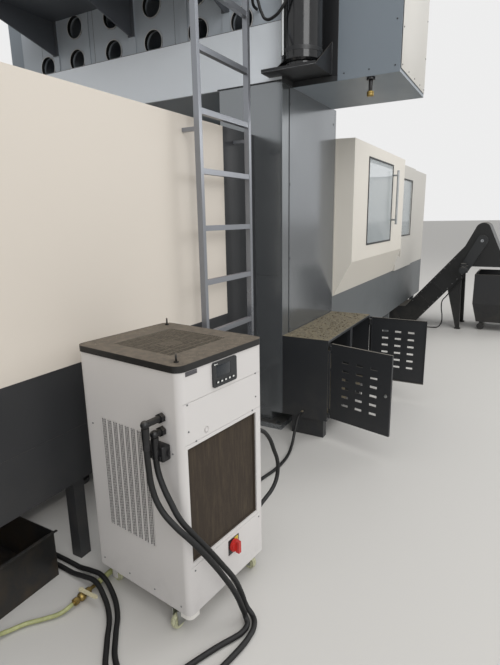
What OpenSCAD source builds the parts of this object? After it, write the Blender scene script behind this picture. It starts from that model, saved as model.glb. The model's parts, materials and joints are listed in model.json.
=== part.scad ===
// Double-column machining center with a moving table, its free-standing oil
// chiller, chip conveyor, chip cart and coolant tray.
// Millimetres. +X runs along the table travel towards the operator's doors,
// +Y runs across the bridge, +Z is up. The origin lies on the floor midway
// between the two columns.

/* [Columns] */
// Distance from the centre plane to the inner face of a column
column_inner_y = 766; // [740:2:800]
// Width of a column across the machine
column_w = 480; // [460:2:500]
// Depth of a column along the machine
column_depth = 1040; // [1000:4:1100]
// Height of the bare skirt under the column covers
skirt_z = 150; // [120:2:180]
// Thickness of the cover pans on the columns
cover_t = 20; // [14:1:26]
// Radius of the anchor bolt holes in the column feet
anchor_r = 18; // [14:0.5:22]
// Distance between anchor bolts along X
anchor_pitch_x = 920; // [880:2:960]

/* [Crossbeam] */
// Height of the underside of the crossbeam
beam_z = 2440; // [2400:5:2500]
// Height of the crossbeam casting
beam_h = 960; // [930:5:1050]
// Radius of the lightening holes in the rear wall
beam_hole_r = 80; // [60:1:85]
// Wall thickness of the crossbeam casting
beam_wall = 40; // [30:1:55]
// Height of the smooth lower cover on the rear face
beam_cover_h = 350; // [320:2:370]
// Reach of the near sheet metal end cover beyond the crossbeam
end_cover_reach = 704; // [600:4:760]
// Reach of the shorter end cover on the far side
far_cover_reach = 354; // [320:2:400]
// Wall thickness of sheet metal housings
sheet_t = 4; // [3:0.5:6]

/* [Bed and table] */
// Rear end of the bed
bed_rear_x = -4450; // [-4600:10:-4400]
// Front end of the bed
bed_front_x = 3560; // [3500:10:3600]
// Width of the bed
bed_w = 1000; // [960:10:1040]
// Height of the levelling pads under the bed
pad_h = 60; // [50:1:80]
// Height of the bed's top surface
bed_top = 600; // [570:5:640]
// Width of one guideway
way_w = 160; // [120:5:180]
// Height of a guideway above the bed
way_h = 40; // [30:1:50]
// Length of the table
table_l = 3000; // [2800:20:3100]
// Width of the table
table_w = 1250; // [1200:10:1300]
// Thickness of the table
table_t = 260; // [230:5:300]
// Distance between T-slots
slot_pitch = 200; // [160:5:220]
// Width of a T-slot's throat
slot_w = 28; // [18:1:36]
// Table travel to each side of rest
x_travel = 1150; // [900:10:1180]
// Length of one telescopic cover section
way_cover_l = 1320; // [1280:5:1320]
// Radius of the table's ball screw
x_screw_r = 40; // [30:1:45]

/* [Saddle and ram] */
// Width of the saddle along the crossbeam
saddle_w = 760; // [700:10:800]
// Width and depth of the square ram
ram_w = 380; // [340:2:420]
// Height of the ram
ram_h = 1700; // [1600:10:1800]
// Height of the spindle nose at rest
nose_z = 1900; // [1850:10:2000]
// Running clearance of sliding faces
slide_gap = 0.3; // [0.2:0.05:0.4]
// Radial clearance of shafts in their bearings
shaft_gap = 0.05; // [0.02:0.01:0.1]

/* [Guards] */
// Half width between the rear guard walls
rear_guard_y = 1034; // [1010:2:1050]
// Rear end of the guards
guard_rear_x = -4840; // [-5000:10:-4800]
// Front end of the guards
guard_front_x = 4840; // [4800:10:5000]
// Height of the top of the rear guard
rear_guard_top = 2130; // [2080:5:2200]
// Height of the joint between the dark and the pale panels
guard_joint_z = 970; // [940:5:1000]
// Height of the lower edge of the rear guard
rear_guard_z = 425; // [400:5:450]
// Depth of a guard panel
panel_t = 40; // [30:1:50]
// Height of the lower edge of the front guard
front_guard_z = 340; // [320:5:380]
// Height of the front guard's sill
front_sill_z = 885; // [880:1:920]
// Height of the top of the front guard
front_guard_top = 2220; // [2180:5:2260]
// How far the boxed front door stands out
door_reach = 154; // [120:2:180]

/* [Ladder and deck] */
// Height of the deck's underside
deck_z = 3162; // [3130:2:3200]
// Depth of the deck behind the crossbeam
deck_depth = 800; // [700:10:900]
// Distance between ladder rungs
rung_pitch = 305; // [280:1:320]
// Distance between the ladder rails
ladder_w = 535; // [480:5:560]

/* [Valve cabinet] */
// Depth of the low cabinet in front of the column
cabinet_d = 351; // [320:1:380]
// Height of the cabinet's top
cabinet_top = 750; // [700:5:800]
// Width of one cabinet door
cabinet_door_w = 470; // [440:2:490]
// Opening angle of the near door at rest
near_door_angle = 105; // [60:1:115]
// Opening angle of the far door at rest
far_door_angle = 90; // [60:1:115]

/* [Oil chiller] */
// Width of the chiller's front face
chiller_w = 495; // [480:1:520]
// Depth of the chiller
chiller_d = 558; // [540:1:600]
// Height of the chiller over its top plate
chiller_h = 1100; // [1060:5:1160]
// Height of the chiller's underside over the floor
chiller_foot = 95; // [90:1:110]
// Turn of the chiller on the floor
chiller_turn = -7; // [-12:0.5:0]
// Radius of the castor wheels
wheel_r = 32; // [28:0.5:34]
// Radius of the coolant hoses
hose_r = 11; // [9:0.5:12]

/* [Chip conveyor] */
// Width of the conveyor
conveyor_w = 620; // [560:10:640]
// Near side of the conveyor
conveyor_x = 3670; // [3640:5:3700]
// Slope of the rising arm
conveyor_slope = 49.8; // [48:0.1:51]
// Depth of the conveyor's trunk
conveyor_t = 260; // [240:2:280]

/* [Hidden] */
$fn = 64;

column_hx = column_depth / 2;
column_out = column_inner_y + column_w;
column_body_w = column_w - cover_t;
corner_strip = 108;
foot_plate_t = 40;
anchor_y = column_inner_y + 414;
joint_gap = 5;

beam_rear_x = -column_hx + cover_t;
beam_front_x = 480;
beam_rail_t = 60;
beam_rail_h = 120;
beam_rail_z = [beam_z + 150, beam_z + beam_h - 150];
hole_rows = [beam_z + 405, beam_z + 646];
hole_ys = [196, 594, 943];
rib_ys = [393, 766];
rear_strips = [[0, 68], [474, 68], [826, 60]];
beam_axis_z = beam_z + beam_h / 2;
y_screw_r = 31.5;
y_screw_x = beam_front_x + 62;
bearing_w = 90;

way_y = 380;
bed_l = bed_front_x - bed_rear_x;
table_z = bed_top + way_h + slide_gap;
table_top = table_z + table_t;
table_x = (bed_rear_x + bed_front_x + 30) / 2;
screw_z = bed_top - 100;
trough_w = 300;
trough_floor = bed_top - 210;
wing_h = bed_top - pad_h - 40;
way_stagger = 8;

saddle_x = beam_front_x + beam_rail_t + slide_gap;
saddle_plate_t = 90;
saddle_z = beam_z - 140;
saddle_h = beam_h + 190;
cheek_t = 70;
ram_gap = 60;
ram_x = saddle_x + saddle_plate_t + ram_gap;
nose_cone_h = 60;
ram_z = nose_z + nose_cone_h + 30;
z_screw_r = 20;
ram_nut_z = saddle_z + saddle_h - 240;
z_screw_x = saddle_x + saddle_plate_t + ram_gap / 2;
spindle_r = 70;
spindle_x = ram_x + ram_w / 2;

door_x0 = 540;
door_x1 = 2800;
door_face_x0 = 570;
door_face_x1 = 2520;
door_face_z = 1190;
door_back_gap = slide_gap;
window_x0 = 1020;
window_x1 = 1930;
window_z0 = 1330;
window_z1 = 2100;
right_door_x0 = 2820;
right_door_x1 = 3820;
right_window_x0 = 2960;
right_window_x1 = 3640;
glass_t = 8;
door_y = -column_out - door_back_gap;
panel_joint = 0.5;
rear_panels_x = -920;

deck_t = 28;
deck_hy = 1084;
gusset_y0 = -826;
gusset_pitch = 826;
gusset_drop = 252;
ladder_y = -rear_guard_y - 100;
ladder_x = -1055;
rail_d = 34;
rail_t = 28;

cabinet_y = -column_out - cabinet_d;
hinge_r = 5;
knuckle_r = 9;
hinge_y = cabinet_y - 12;
near_hinge_x = -column_hx + 12;
far_hinge_x = column_hx - 12;
cabinet_door_z0 = skirt_z + 32;
cabinet_door_h = cabinet_top - skirt_z - 51;

chiller_x = -2362;
chiller_y = -1733;
top_plate_t = 25;
top_overhang = 5;
housing_h = chiller_h - top_plate_t - chiller_foot;
fan_u = chiller_w / 2;
fan_v = chiller_d * 0.5;
fan_r = 150;
port_reach = [83.8, 44.4];
castor_inset_u = 46;
castor_inset_v = 68;
castor_trail = 32;
wheel_w = 24;
axle_r = 5;
// Swivel axes of the front castors in the chiller's frame
left_castor = [castor_inset_u, castor_inset_v + 14];
right_castor = [chiller_w - castor_inset_u, castor_inset_v + 14];
// The near castor rests swung out to the side, as it was left
left_castor_turn = 266;
gland_v = 80;

bracket_x = -350;
bracket_y0 = -1520;
bracket_y1 = -1155;
bracket_z = beam_z + 26;
bracket_front_x = -640;
tank_r = 128;
tank_x = bracket_x - tank_r - 52;
tank_y = -column_out - tank_r - 11;
tank_h = 568;

valve_x = -2425;
valve_y = -1205;

head_s = 2225;
head_z = 1240;
head_peak = [2222, 1384];
head_r = 92;
conveyor_wall = 6;
conveyor_s0 = 1389;
conveyor_floor = 20;
drive_r = 20;

cart_x = conveyor_x;
cart_l = 760;
cart_w = 760;
cart_y = -2930;
cart_z0 = 120;
cart_h = 660;

// Hand-chosen routes of the hoses and cables, centre line
// Place on the floor plan of a point given along the chiller's front and side
function chiller_point(p) = [
    chiller_x + p.x * cos(chiller_turn) - p.y * sin(chiller_turn),
    chiller_y + p.x * sin(chiller_turn) + p.y * cos(chiller_turn), p.z];

hose_end_y = -bed_w / 2 - 40;
supply_route = [[-2435, -1639, 849.9], [-2435, -1639, 836], [-2436, -1643, 750],
    [-2436, -1655, 660], [-2432, -1685, 590], [-2420, -1733, 532], [-2388, -1780, 465],
    [-2335, -1819, 363], [-2284, -1845, 262], [-2238, -1861, 165], [-2206, -1869, 80],
    [-2192, -1877, 26], [-2206, -1893, 12], [-2248, -1896, 12], [-2290, -1880, 12],
    [-2335, -1856, 12], [-2400, -1826, 12], [-2470, -1797, 12], [-2540, -1768, 12],
    [-2604, -1712, 12], [-2620, -1636, 12], [-2580, -1550, 12], [-2500, -1472, 12],
    [-2414, -1398, 20], [-2350, -1302, 36], [-2316, -1212, 47], [-2304, -1130, 32],
    [-2296, -1040, 12], [-2291, -900, 12], [-2290, -760, 18], [-2290, -660, 50],
    [-2290, hose_end_y - 50, 78], [-2290, hose_end_y - 16, 80], [-2290, hose_end_y - 0.1, 80]];
return_route = [[-2396, -1644, 799.9], [-2396, -1644, 786], [-2398, -1650, 720],
    [-2401, -1672, 664], [-2401, -1704, 605], [-2394, -1734, 546], [-2366, -1768, 478],
    [-2320, -1798, 395], [-2266, -1824, 298], [-2212, -1843, 200], [-2176, -1852, 110],
    [-2158, -1864, 38], [-2166, -1897, 12], [-2204, -1922, 12], [-2256, -1929, 12],
    [-2310, -1926, 12], [-2366, -1917, 12], [-2420, -1906, 12], [-2500, -1882, 12],
    [-2586, -1842, 12], [-2662, -1774, 12], [-2688, -1676, 12], [-2640, -1566, 12],
    [-2536, -1462, 12], [-2446, -1384, 20], [-2388, -1295, 36], [-2356, -1212, 47],
    [-2346, -1130, 32], [-2338, -1040, 12], [-2332, -900, 12], [-2330, -760, 18],
    [-2330, -660, 50], [-2330, hose_end_y - 50, 78], [-2330, hose_end_y - 16, 80],
    [-2330, hose_end_y - 0.1, 80]];
cabinet_gland = [-column_hx - 28, -1410, 190];
power_loop = [[525.1, 80, 640], [548, 80, 640], [594, 80, 624], [660, 80, 562],
    [704, 80, 478], [734, 80, 408], [738, 80, 362], [722, 80, 309], [686, 82, 272],
    [640, 86, 250], [596, 94, 224], [562, 106, 186], [547, 128, 138], [552, 165, 78],
    [574, 222, 28], [622, 292, 11]];
power_route = concat([for (p = power_loop) chiller_point(p)],
    [[-1600, -1478, 11], [-1450, -1438, 11], [-1250, -1430, 11], [-1050, -1458, 11],
    [-880, -1452, 11], [-740, -1425, 32], [-660, -1412, 104], [-612, -1410, 164],
    [-576, -1410, 189], cabinet_gland - [14, 0, 0], cabinet_gland - [0.1, 0, 0]]);
drain_route = [[-2477.1, -1205, 22], [-2496, -1205, 22], [-2526, -1196, 17],
    [-2574, -1160, 14], [-2630, -1112, 14], [-2690, -1084, 18], [-2736, -1070, 32],
    [-2757, -1056, 47], [-2760, -1040, 50], [-2760, -1023.1, 50]];
tank_cable_route = [[tank_x, tank_y, 3052.1], [tank_x, tank_y, 3074], [-550, -1388, 3112],
    [-602, -1394, 3120], [-656, -1397, 3062], [-682, -1393, 2955], [-686, -1371, 2862],
    [-682, -1326, 2792], [-672, -1262, 2753], [-666, -1207, 2753], [-664, -1174, 2800],
    [-660, -1146, 2876], [-640, -1108, 2934], [-604, -1080, 2922], [-572, -1070, 2889],
    [-546, -1070, 2880], [-524.1, -1070, 2880]];
conveyor_cable_route = [[3596, -2035, 799.9], [3596, -2035, 786], [3602, -2026, 740],
    [3622, -1970, 664], [3644, -1900, 566], [3652, -1826, 462], [3650, -1782, 400],
    [3642, -1776, 300], [3634, -1794, 180], [3626, -1790, 80], [3616, -1752, 22],
    [3608, -1690, 9], [3600, -1590, 9], [3592, -1470, 9], [3584, -1360, 10],
    [3592, -1270, 26], [3606, -1226, 58], [3618, -1197, 84], [3632, -1190, 90],
    [3647.9, -1190, 90]];

// Everything under this mirrored copy appears on both sides of the centre plane
module both_sides() {
    children();
    mirror([0, 1, 0]) children();
}

// Places a part drawn in the chiller's own frame: x across its front, y to its back
module chiller_place() {
    translate([chiller_x, chiller_y, 0]) rotate([0, 0, chiller_turn]) children();
}

// A box given by its two opposite corners
module box(lo, hi) {
    translate(lo) cube(hi - lo);
}

// A flat rounded plate lying in the XY plane
module rounded_plate(size, r, t) {
    linear_extrude(t) {
        translate([r, 0]) square([size.x - 2 * r, size.y]);
        translate([0, r]) square([size.x, size.y - 2 * r]);
        for (x = [r, size.x - r], y = [r, size.y - r]) translate([x, y]) circle(r);
    }
}

// A folded sheet pan: a face towards -Y with a returned rim behind it
module pan(size, depth, t) {
    difference() {
        cube([size.x, depth, size.y]);
        translate([t, t, t]) cube([size.x - 2 * t, depth, size.y - 2 * t]);
    }
}

function unit(v) = v / norm(v);
function heading(pts, i) = unit(pts[min(i + 1, len(pts) - 1)] - pts[max(i - 1, 0)]);
function square_to(u, t) = unit(u - (u * t) * t);
function side_dirs(pts, i, last) = i == len(pts) ? [] :
    let (u = square_to(last, heading(pts, i))) concat([u], side_dirs(pts, i + 1, u));

// A round tube swept along a route, one ring of points at each route point
module tube_along(pts, r, sides) {
    start_side = abs(heading(pts, 0).z) > 0.7 ? [1, 0, 0] : [0, 0, 1];
    dirs = side_dirs(pts, 0, start_side);
    n = len(pts);
    verts = [for (i = [0:n - 1]) let (w = cross(heading(pts, i), dirs[i]))
        for (k = [0:sides - 1])
            pts[i] + r * (cos(360 * k / sides) * dirs[i] + sin(360 * k / sides) * w)];
    first_cap = [[for (k = [0:sides - 1]) k]];
    last_cap = [[for (k = [sides - 1:-1:0]) (n - 1) * sides + k]];
    skin = [for (i = [0:n - 2], k = [0:sides - 1])
        let (a = i * sides + k, b = i * sides + (k + 1) % sides)
            [a, a + sides, b + sides, b]];
    polyhedron(verts, concat(first_cap, last_cap, skin));
}

// Bed casting with wings that carry the columns, side pockets and a screw trough
module bed() {
    pocket_l = 640;
    pocket_pitch = 800;
    pocket_d = 90;
    color("#5d6167") difference() {
        union() {
            box([bed_rear_x, -bed_w / 2, pad_h], [bed_front_x, bed_w / 2, bed_top]);
            both_sides()
                box([-column_hx + 40, bed_w / 2 - 1, pad_h],
                    [column_hx - 40, column_inner_y, pad_h + wing_h]);
            both_sides()
                box([bed_rear_x, way_y - way_w / 2, bed_top - 1],
                    [bed_front_x, way_y + way_w / 2, bed_top + way_h]);
        }
        box([bed_rear_x + 60, -trough_w / 2, trough_floor],
            [bed_front_x - 60, trough_w / 2, bed_top + 1]);
        both_sides()
            for (x = [bed_rear_x + 120:pocket_pitch:bed_front_x - pocket_l - 60])
                if (x + pocket_l < -column_hx || x > column_hx)
                    translate([x, bed_w / 2 - pocket_d, pad_h + 110])
                        cube([pocket_l, pocket_d + 1, bed_top - pad_h - 230]);
        for (x = [bed_rear_x - 1, bed_front_x - 61])
            translate([x, 0, screw_z]) rotate([0, 90, 0])
                cylinder(r = x_screw_r - 10 + shaft_gap, h = 62);
    }
}

// Levelling pads: a disc foot, a stud and a lock nut each
module levelling_pads() {
    pad_pitch = 860;
    color("#3a3c3f") both_sides()
        for (x = [bed_rear_x + 120:pad_pitch:bed_front_x - 60])
            translate([x, bed_w / 2 - 90, 0]) {
                cylinder(r = 75, h = pad_h * 0.4);
                cylinder(r = 18, h = pad_h);
                translate([0, 0, pad_h - 22]) cylinder(r = 34, h = 22, $fn = 6);
            }
}

// One column casting on the +Y side, with its bolted foot
module column_casting() {
    foot_inset = 80;
    difference() {
        union() {
            box([-column_hx, column_inner_y, skirt_z],
                [column_hx, column_inner_y + column_body_w, beam_z]);
            box([-column_hx, column_inner_y, skirt_z],
                [-column_hx + corner_strip, column_out, beam_z - joint_gap]);
            box([column_hx - 30, column_inner_y, skirt_z],
                [column_hx, column_out, beam_z - joint_gap]);
            box([-column_hx + foot_inset, column_inner_y, 0],
                [column_hx - foot_inset, column_inner_y + column_body_w - 110, skirt_z + 1]);
            box([-column_hx + 20, column_inner_y, 0],
                [column_hx - 20, column_inner_y + column_body_w, foot_plate_t]);
        }
        for (x = [-anchor_pitch_x / 2, anchor_pitch_x / 2])
            translate([x, anchor_y, -1]) cylinder(r = anchor_r, h = foot_plate_t + 2);
        // Joint line of the two rear cover plates
        box([-column_hx - 1, column_inner_y - 1, 1178],
            [-column_hx + 4, column_out - 26, 1183]);
        // Cored window low on the inner face, above the bed's wing
        box([-column_hx + 220, column_inner_y - 1, bed_top + 300],
            [column_hx - 220, column_inner_y + 120, beam_z - 300]);
    }
}

module column_near() {
    color("#7f848a") mirror([0, 1, 0]) column_casting();
}

module column_far() {
    color("#7f848a") column_casting();
}

// Side cover pans of the two columns, with their screws
module column_covers() {
    x0 = -column_hx + corner_strip + 2;
    x1 = column_hx - 32;
    color("#8b9096") both_sides() {
        box([x0, column_inner_y + column_body_w, skirt_z],
            [x1, column_out, beam_z - joint_gap]);
        for (x = [x0 + 22, x1 - 22], k = [0:4])
            let (z = skirt_z + 120 + k * (beam_z - skirt_z - 240) / 4)
                // None behind the cabinet or where the sliding door passes
                if (z > cabinet_top + 15 && (x < 0 || z > front_guard_top + 20))
                    translate([x, column_out, z]) rotate([-90, 0, 0]) cylinder(r = 9, h = 3);
    }
}

// Crossbeam casting: rear wall with two rows of lightening holes over cored
// cells, raised bracket strips, and two guide rails on the front
module crossbeam() {
    cell_ys = concat([0], rib_ys, [column_out - 120]);
    color("#aab2ba") difference() {
        union() {
            box([beam_rear_x, -column_out, beam_z],
                [beam_front_x, column_out, beam_z + beam_h]);
            for (z = beam_rail_z)
                box([beam_front_x - 1, -column_out + 40, z - beam_rail_h / 2],
                    [beam_front_x + beam_rail_t, column_out - 40, z + beam_rail_h / 2]);
            both_sides() for (s = rear_strips)
                box([beam_rear_x - 8, s[0] - s[1] / 2, beam_z + beam_cover_h],
                    [beam_rear_x + 1, s[0] + s[1] / 2, beam_z + beam_h - 60]);
            both_sides()
                box([beam_front_x - 1, column_out - 40 - bearing_w, beam_axis_z - 70],
                    [y_screw_x + 50, column_out - 40, beam_axis_z + 70]);
            translate([beam_rear_x - 24, -1070, 2880]) rotate([0, 90, 0])
                cylinder(r = 12, h = 25);
        }
        both_sides() for (i = [0:len(cell_ys) - 2])
            box([beam_rear_x + beam_wall, cell_ys[i] + (i == 0 ? 20 : beam_wall / 2),
                    beam_z + beam_wall + 40],
                [beam_rear_x + 620, cell_ys[i + 1] - beam_wall / 2,
                    beam_z + beam_h - beam_wall - 40]);
        both_sides() for (y = hole_ys, z = hole_rows)
            translate([beam_rear_x - 10, y, z]) rotate([0, 90, 0])
                cylinder(r = beam_hole_r, h = beam_wall + 20);
        both_sides() for (y = hole_ys, z = hole_rows)
            translate([beam_rear_x - 0.01, y, z]) rotate([0, 90, 0])
                cylinder(r1 = beam_hole_r + 8, r2 = beam_hole_r, h = 8);
        both_sides() translate([y_screw_x, column_out - 41 - bearing_w, beam_axis_z])
            rotate([-90, 0, 0]) cylinder(r = y_screw_r - 8 + shaft_gap, h = bearing_w + 2);
    }
}

// Smooth lower cover that stands proud of the beam's rear face
module beam_rear_cover() {
    color("#b4bdc6")
        box([beam_rear_x - cover_t, -column_out, beam_z],
            [beam_rear_x, column_out, beam_z + beam_cover_h]);
}

// Overhanging end covers, open towards the beam, with screws on the end face
module beam_end_covers() {
    x0 = -350;
    x1 = 430;
    z0 = beam_z - 10;
    z1 = beam_z + beam_h;
    color("#8d959c") for (k = [0, 1]) mirror([0, k, 0]) {
        end_y = -column_out - (k == 0 ? end_cover_reach : far_cover_reach);
        difference() {
            box([x0, end_y, z0], [x1, -column_out, z1]);
            box([x0 + sheet_t, end_y + sheet_t, z0 + sheet_t],
                [x1 - sheet_t, -column_out + 1, z1 - sheet_t]);
        }
        for (x = [x0 + 40, x1 - 40], z = [z0 + 40, (z0 + z1) / 2, z1 - 40])
            translate([x, end_y, z]) rotate([90, 0, 0]) cylinder(r = 8, h = 3);
    }
    // Drain stub with a brass fitting under the near cover
    color("#b08d57") translate([-320, -column_out - 520, z0 - 110]) {
        cylinder(r = 9, h = 110);
        cylinder(r = 20, h = 26, $fn = 6);
        translate([0, 0, 94]) cylinder(r = 26, h = 16);
    }
}

// Service deck on triangular gussets behind the beam, with a railing
module rear_deck() {
    x1 = beam_rear_x - 8;
    x0 = x1 - deck_depth;
    post = 40;
    rail_top = deck_z + 1060;
    color("#4b4e54") {
        box([x0, -deck_hy, deck_z], [x1, deck_hy, deck_z + deck_t]);
        box([x0, -deck_hy, deck_z + deck_t - 1], [x0 + 6, deck_hy, deck_z + deck_t + 100]);
        for (k = [0:2]) translate([0, gusset_y0 + k * gusset_pitch, 0]) {
            rotate([90, 0, 0]) translate([0, 0, -5]) linear_extrude(10)
                polygon([[x1, deck_z - gusset_drop], [x1 - 30, deck_z - gusset_drop],
                    [x0 + 30, deck_z - 40], [x0 + 30, deck_z + 1], [x1, deck_z + 1]]);
            box([x1 - 10, -30, deck_z - gusset_drop], [x1, 30, deck_z + 1]);
        }
        for (k = [0:3])
            box([x0 + 6, -deck_hy + k * (2 * deck_hy - post) / 3, deck_z + deck_t - 1],
                [x0 + 6 + post, -deck_hy + post + k * (2 * deck_hy - post) / 3, rail_top]);
        for (z = [deck_z + 560, rail_top])
            translate([x0 + 6 + post / 2, -deck_hy, z]) rotate([-90, 0, 0])
                cylinder(r = 20, h = 2 * deck_hy);
    }
}

// Ladder up to the deck: two flat rails, rungs and stand-off brackets
module ladder() {
    first_rung = 310;
    rungs = floor((deck_z - first_rung) / rung_pitch);
    rail_top = deck_z + 1000;
    color("#85888d") {
        for (side = [-1, 1])
            translate([ladder_x + side * ladder_w / 2 - rail_t / 2, ladder_y - rail_d / 2, 0])
                cube([rail_t, rail_d, rail_top]);
        for (k = [0:rungs])
            translate([ladder_x - ladder_w / 2, ladder_y - 15, first_rung + k * rung_pitch - 15])
                cube([ladder_w, 30, 30]);
        for (side = [-1, 1], z = [rear_guard_top - 90, deck_z + 2])
            box([ladder_x + side * ladder_w / 2 - 12, ladder_y + rail_d / 2 - 1, z],
                [ladder_x + side * ladder_w / 2 + (z > rear_guard_top ? 34 : 12),
                    z > rear_guard_top ? -deck_hy : -rear_guard_y, z + 20]);
    }
}

// Pale upper pans of the rear guard: both sides and the end wall
module rear_guard_upper() {
    x0 = guard_rear_x + panel_t + panel_joint;
    h = rear_guard_top - guard_joint_z;
    color("#d8cfc2") {
        for (k = [0, 1]) mirror([0, k, 0])
            translate([x0, -rear_guard_y, guard_joint_z])
                pan([rear_panels_x - x0, h], panel_t, sheet_t);
        translate([guard_rear_x, rear_guard_y, guard_joint_z]) rotate([0, 0, -90])
            pan([2 * rear_guard_y, h], panel_t, sheet_t);
    }
}

// Dark lower pans of the rear guard, its posts, and the tall dark side panels
module rear_guard_lower() {
    x0 = guard_rear_x + panel_t + panel_joint;
    x1 = rear_panels_x - panel_joint;
    seam_z = 680;
    post = 60;
    color("#36373a") {
        for (k = [0, 1]) mirror([0, k, 0]) {
            translate([x0, -rear_guard_y, rear_guard_z])
                pan([x1 - x0, seam_z - panel_joint - rear_guard_z], panel_t, sheet_t);
            translate([x0, -rear_guard_y, seam_z])
                pan([x1 - x0, guard_joint_z - seam_z], panel_t, sheet_t);
            translate([rear_panels_x, -rear_guard_y, rear_guard_z])
                pan([-column_hx - rear_panels_x, rear_guard_top - rear_guard_z], panel_t,
                    sheet_t);
            for (x = [-4700, -4100, -2240, -1600, -990])
                box([x, -rear_guard_y + panel_t, 0],
                    [x + post, -rear_guard_y + panel_t + post, rear_guard_z + 120]);
        }
        translate([guard_rear_x, rear_guard_y, rear_guard_z]) rotate([0, 0, -90])
            pan([2 * rear_guard_y, guard_joint_z - rear_guard_z], panel_t, sheet_t);
    }
}

// White upper front guard: header rails, fixed pans and the front end wall
module front_guard_upper() {
    h = front_guard_top - front_sill_z;
    header = 80;
    open_x0 = door_x0 + 100;
    open_x1 = right_door_x1 - 100;
    color("#e2ddd4") {
        // Near side: two posts, sill and header around the door opening
        box([column_hx, -column_out, front_sill_z],
            [open_x0, -column_out + panel_t, front_guard_top]);
        box([open_x1, -column_out, front_sill_z],
            [guard_front_x - panel_t - panel_joint, -column_out + panel_t, front_guard_top]);
        box([open_x0 + panel_joint, -column_out, front_sill_z],
            [open_x1 - panel_joint, -column_out + panel_t, front_sill_z + 45]);
        box([open_x0 + panel_joint, -column_out, front_guard_top - header],
            [open_x1 - panel_joint, -column_out + panel_t, front_guard_top]);
        mirror([0, 1, 0])
            translate([column_hx, -column_out, front_sill_z])
                pan([guard_front_x - panel_t - panel_joint - column_hx, h], panel_t,
                    sheet_t);
        translate([guard_front_x, -column_out, front_sill_z]) rotate([0, 0, 90])
            pan([2 * column_out, h], panel_t, sheet_t);
        // Hanging rail hidden inside the boxed door
        box([open_x0 + panel_joint, -column_out - 24, front_guard_top - 66],
            [door_x0 + 1060, -column_out + 1, front_guard_top - 26]);
    }
}

// Grey lower front guard with its posts
module front_guard_lower() {
    h = front_sill_z - front_guard_z;
    post = 60;
    color("#85898c") {
        for (k = [0, 1]) mirror([0, k, 0]) {
            translate([column_hx, -column_out, front_guard_z])
                pan([guard_front_x - panel_t - panel_joint - column_hx, h], panel_t,
                    sheet_t);
            for (x = [900, 1900, 2900, 4560])
                box([x, -column_out + panel_t, 0],
                    [x + post, -column_out + panel_t + post, front_sill_z]);
        }
        translate([guard_front_x, -column_out, front_guard_z]) rotate([0, 0, 90])
            pan([2 * column_out, h], panel_t, sheet_t);
    }
}

// Solid outline of the boxed door, shrunk on all sides by inset
module door_outline(inset) {
    back_y = door_y + (inset > 0 ? 1 : 0);
    hull() {
        box([door_x0 + inset, back_y - 0.5, front_sill_z + inset],
            [door_x1 - inset, back_y, front_guard_top - inset]);
        box([door_face_x0 + inset, door_y - door_reach + inset, door_face_z + inset / 2],
            [door_face_x1 - inset, door_y - door_reach + inset + 0.5,
                front_guard_top - inset]);
    }
}

// Boxed sliding door, hollow behind, with its bevelled lower and right sides
module front_door_left() {
    color("#ddd6cb") difference() {
        door_outline(0);
        door_outline(sheet_t);
        box([window_x0, door_y - door_reach - 1, window_z0],
            [window_x1, door_y - door_reach + sheet_t + 1, window_z1]);
    }
}

// Flat sliding door with its pull handle
module front_door_right() {
    t = 28;
    color("#e2ddd4") {
        difference() {
            box([right_door_x0, door_y - t, front_sill_z],
                [right_door_x1, door_y, front_guard_top]);
            box([right_window_x0, door_y - t - 1, window_z0],
                [right_window_x1, door_y + 1, window_z1 - 60]);
        }
        for (z = [1080, 1280])
            translate([right_door_x0 + 70, door_y - t, z]) rotate([90, 0, 0])
                cylinder(r = 9, h = 46);
        translate([right_door_x0 + 70, door_y - t - 46, 1060]) cylinder(r = 11, h = 240);
    }
}

// Clear pane of the boxed door, held in its cut-out
module door_window_left() {
    color("#cfd6d8")
        box([window_x0, door_y - door_reach - 2, window_z0],
            [window_x1, door_y - door_reach + glass_t - 2, window_z1]);
}

module door_window_right() {
    color("#9aa3a8")
        box([right_window_x0, door_y - 22, window_z0],
            [right_window_x1, door_y - 22 + glass_t, window_z1 - 60]);
}

// Long tubular pull on the boxed door
module door_handle_left() {
    z0 = 1490;
    z1 = 2060;
    x = window_x1 + 45;
    face_y = door_y - door_reach;
    color("#9b9fa3") {
        translate([x, face_y - 50, z0]) cylinder(r = 13, h = z1 - z0);
        for (z = [z0 + 50, z1 - 50])
            translate([x, face_y, z]) rotate([90, 0, 0]) cylinder(r = 10, h = 50);
    }
}

// Table with T-slots, a dripping edge and the nut bracket underneath
module table() {
    slots = 5;
    throat_d = 30;
    t_w = slot_w + 20;
    t_h = 22;
    nut_l = 240;
    nut_w = 150;
    color("#8c9196") translate([table_x, 0, 0]) difference() {
        union() {
            box([-table_l / 2, -table_w / 2, table_z + 60],
                [table_l / 2, table_w / 2, table_top]);
            box([-table_l / 2, -way_y - way_w / 2 - 30, table_z],
                [table_l / 2, way_y + way_w / 2 + 30, table_z + 61]);
            box([-nut_l / 2, -nut_w / 2, screw_z - 80], [nut_l / 2, nut_w / 2, table_z + 1]);
        }
        for (k = [0:slots - 1]) {
            y = (k - (slots - 1) / 2) * slot_pitch;
            translate([-table_l / 2 - 1, y - slot_w / 2, table_top - throat_d - 1])
                cube([table_l + 2, slot_w, throat_d + 2]);
            translate([-table_l / 2 - 1, y - t_w / 2, table_top - throat_d - t_h])
                cube([table_l + 2, t_w, t_h]);
        }
        translate([-nut_l / 2 - 1, 0, screw_z]) rotate([0, 90, 0])
            cylinder(r = x_screw_r + shaft_gap, h = nut_l + 2);
    }
}

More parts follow.
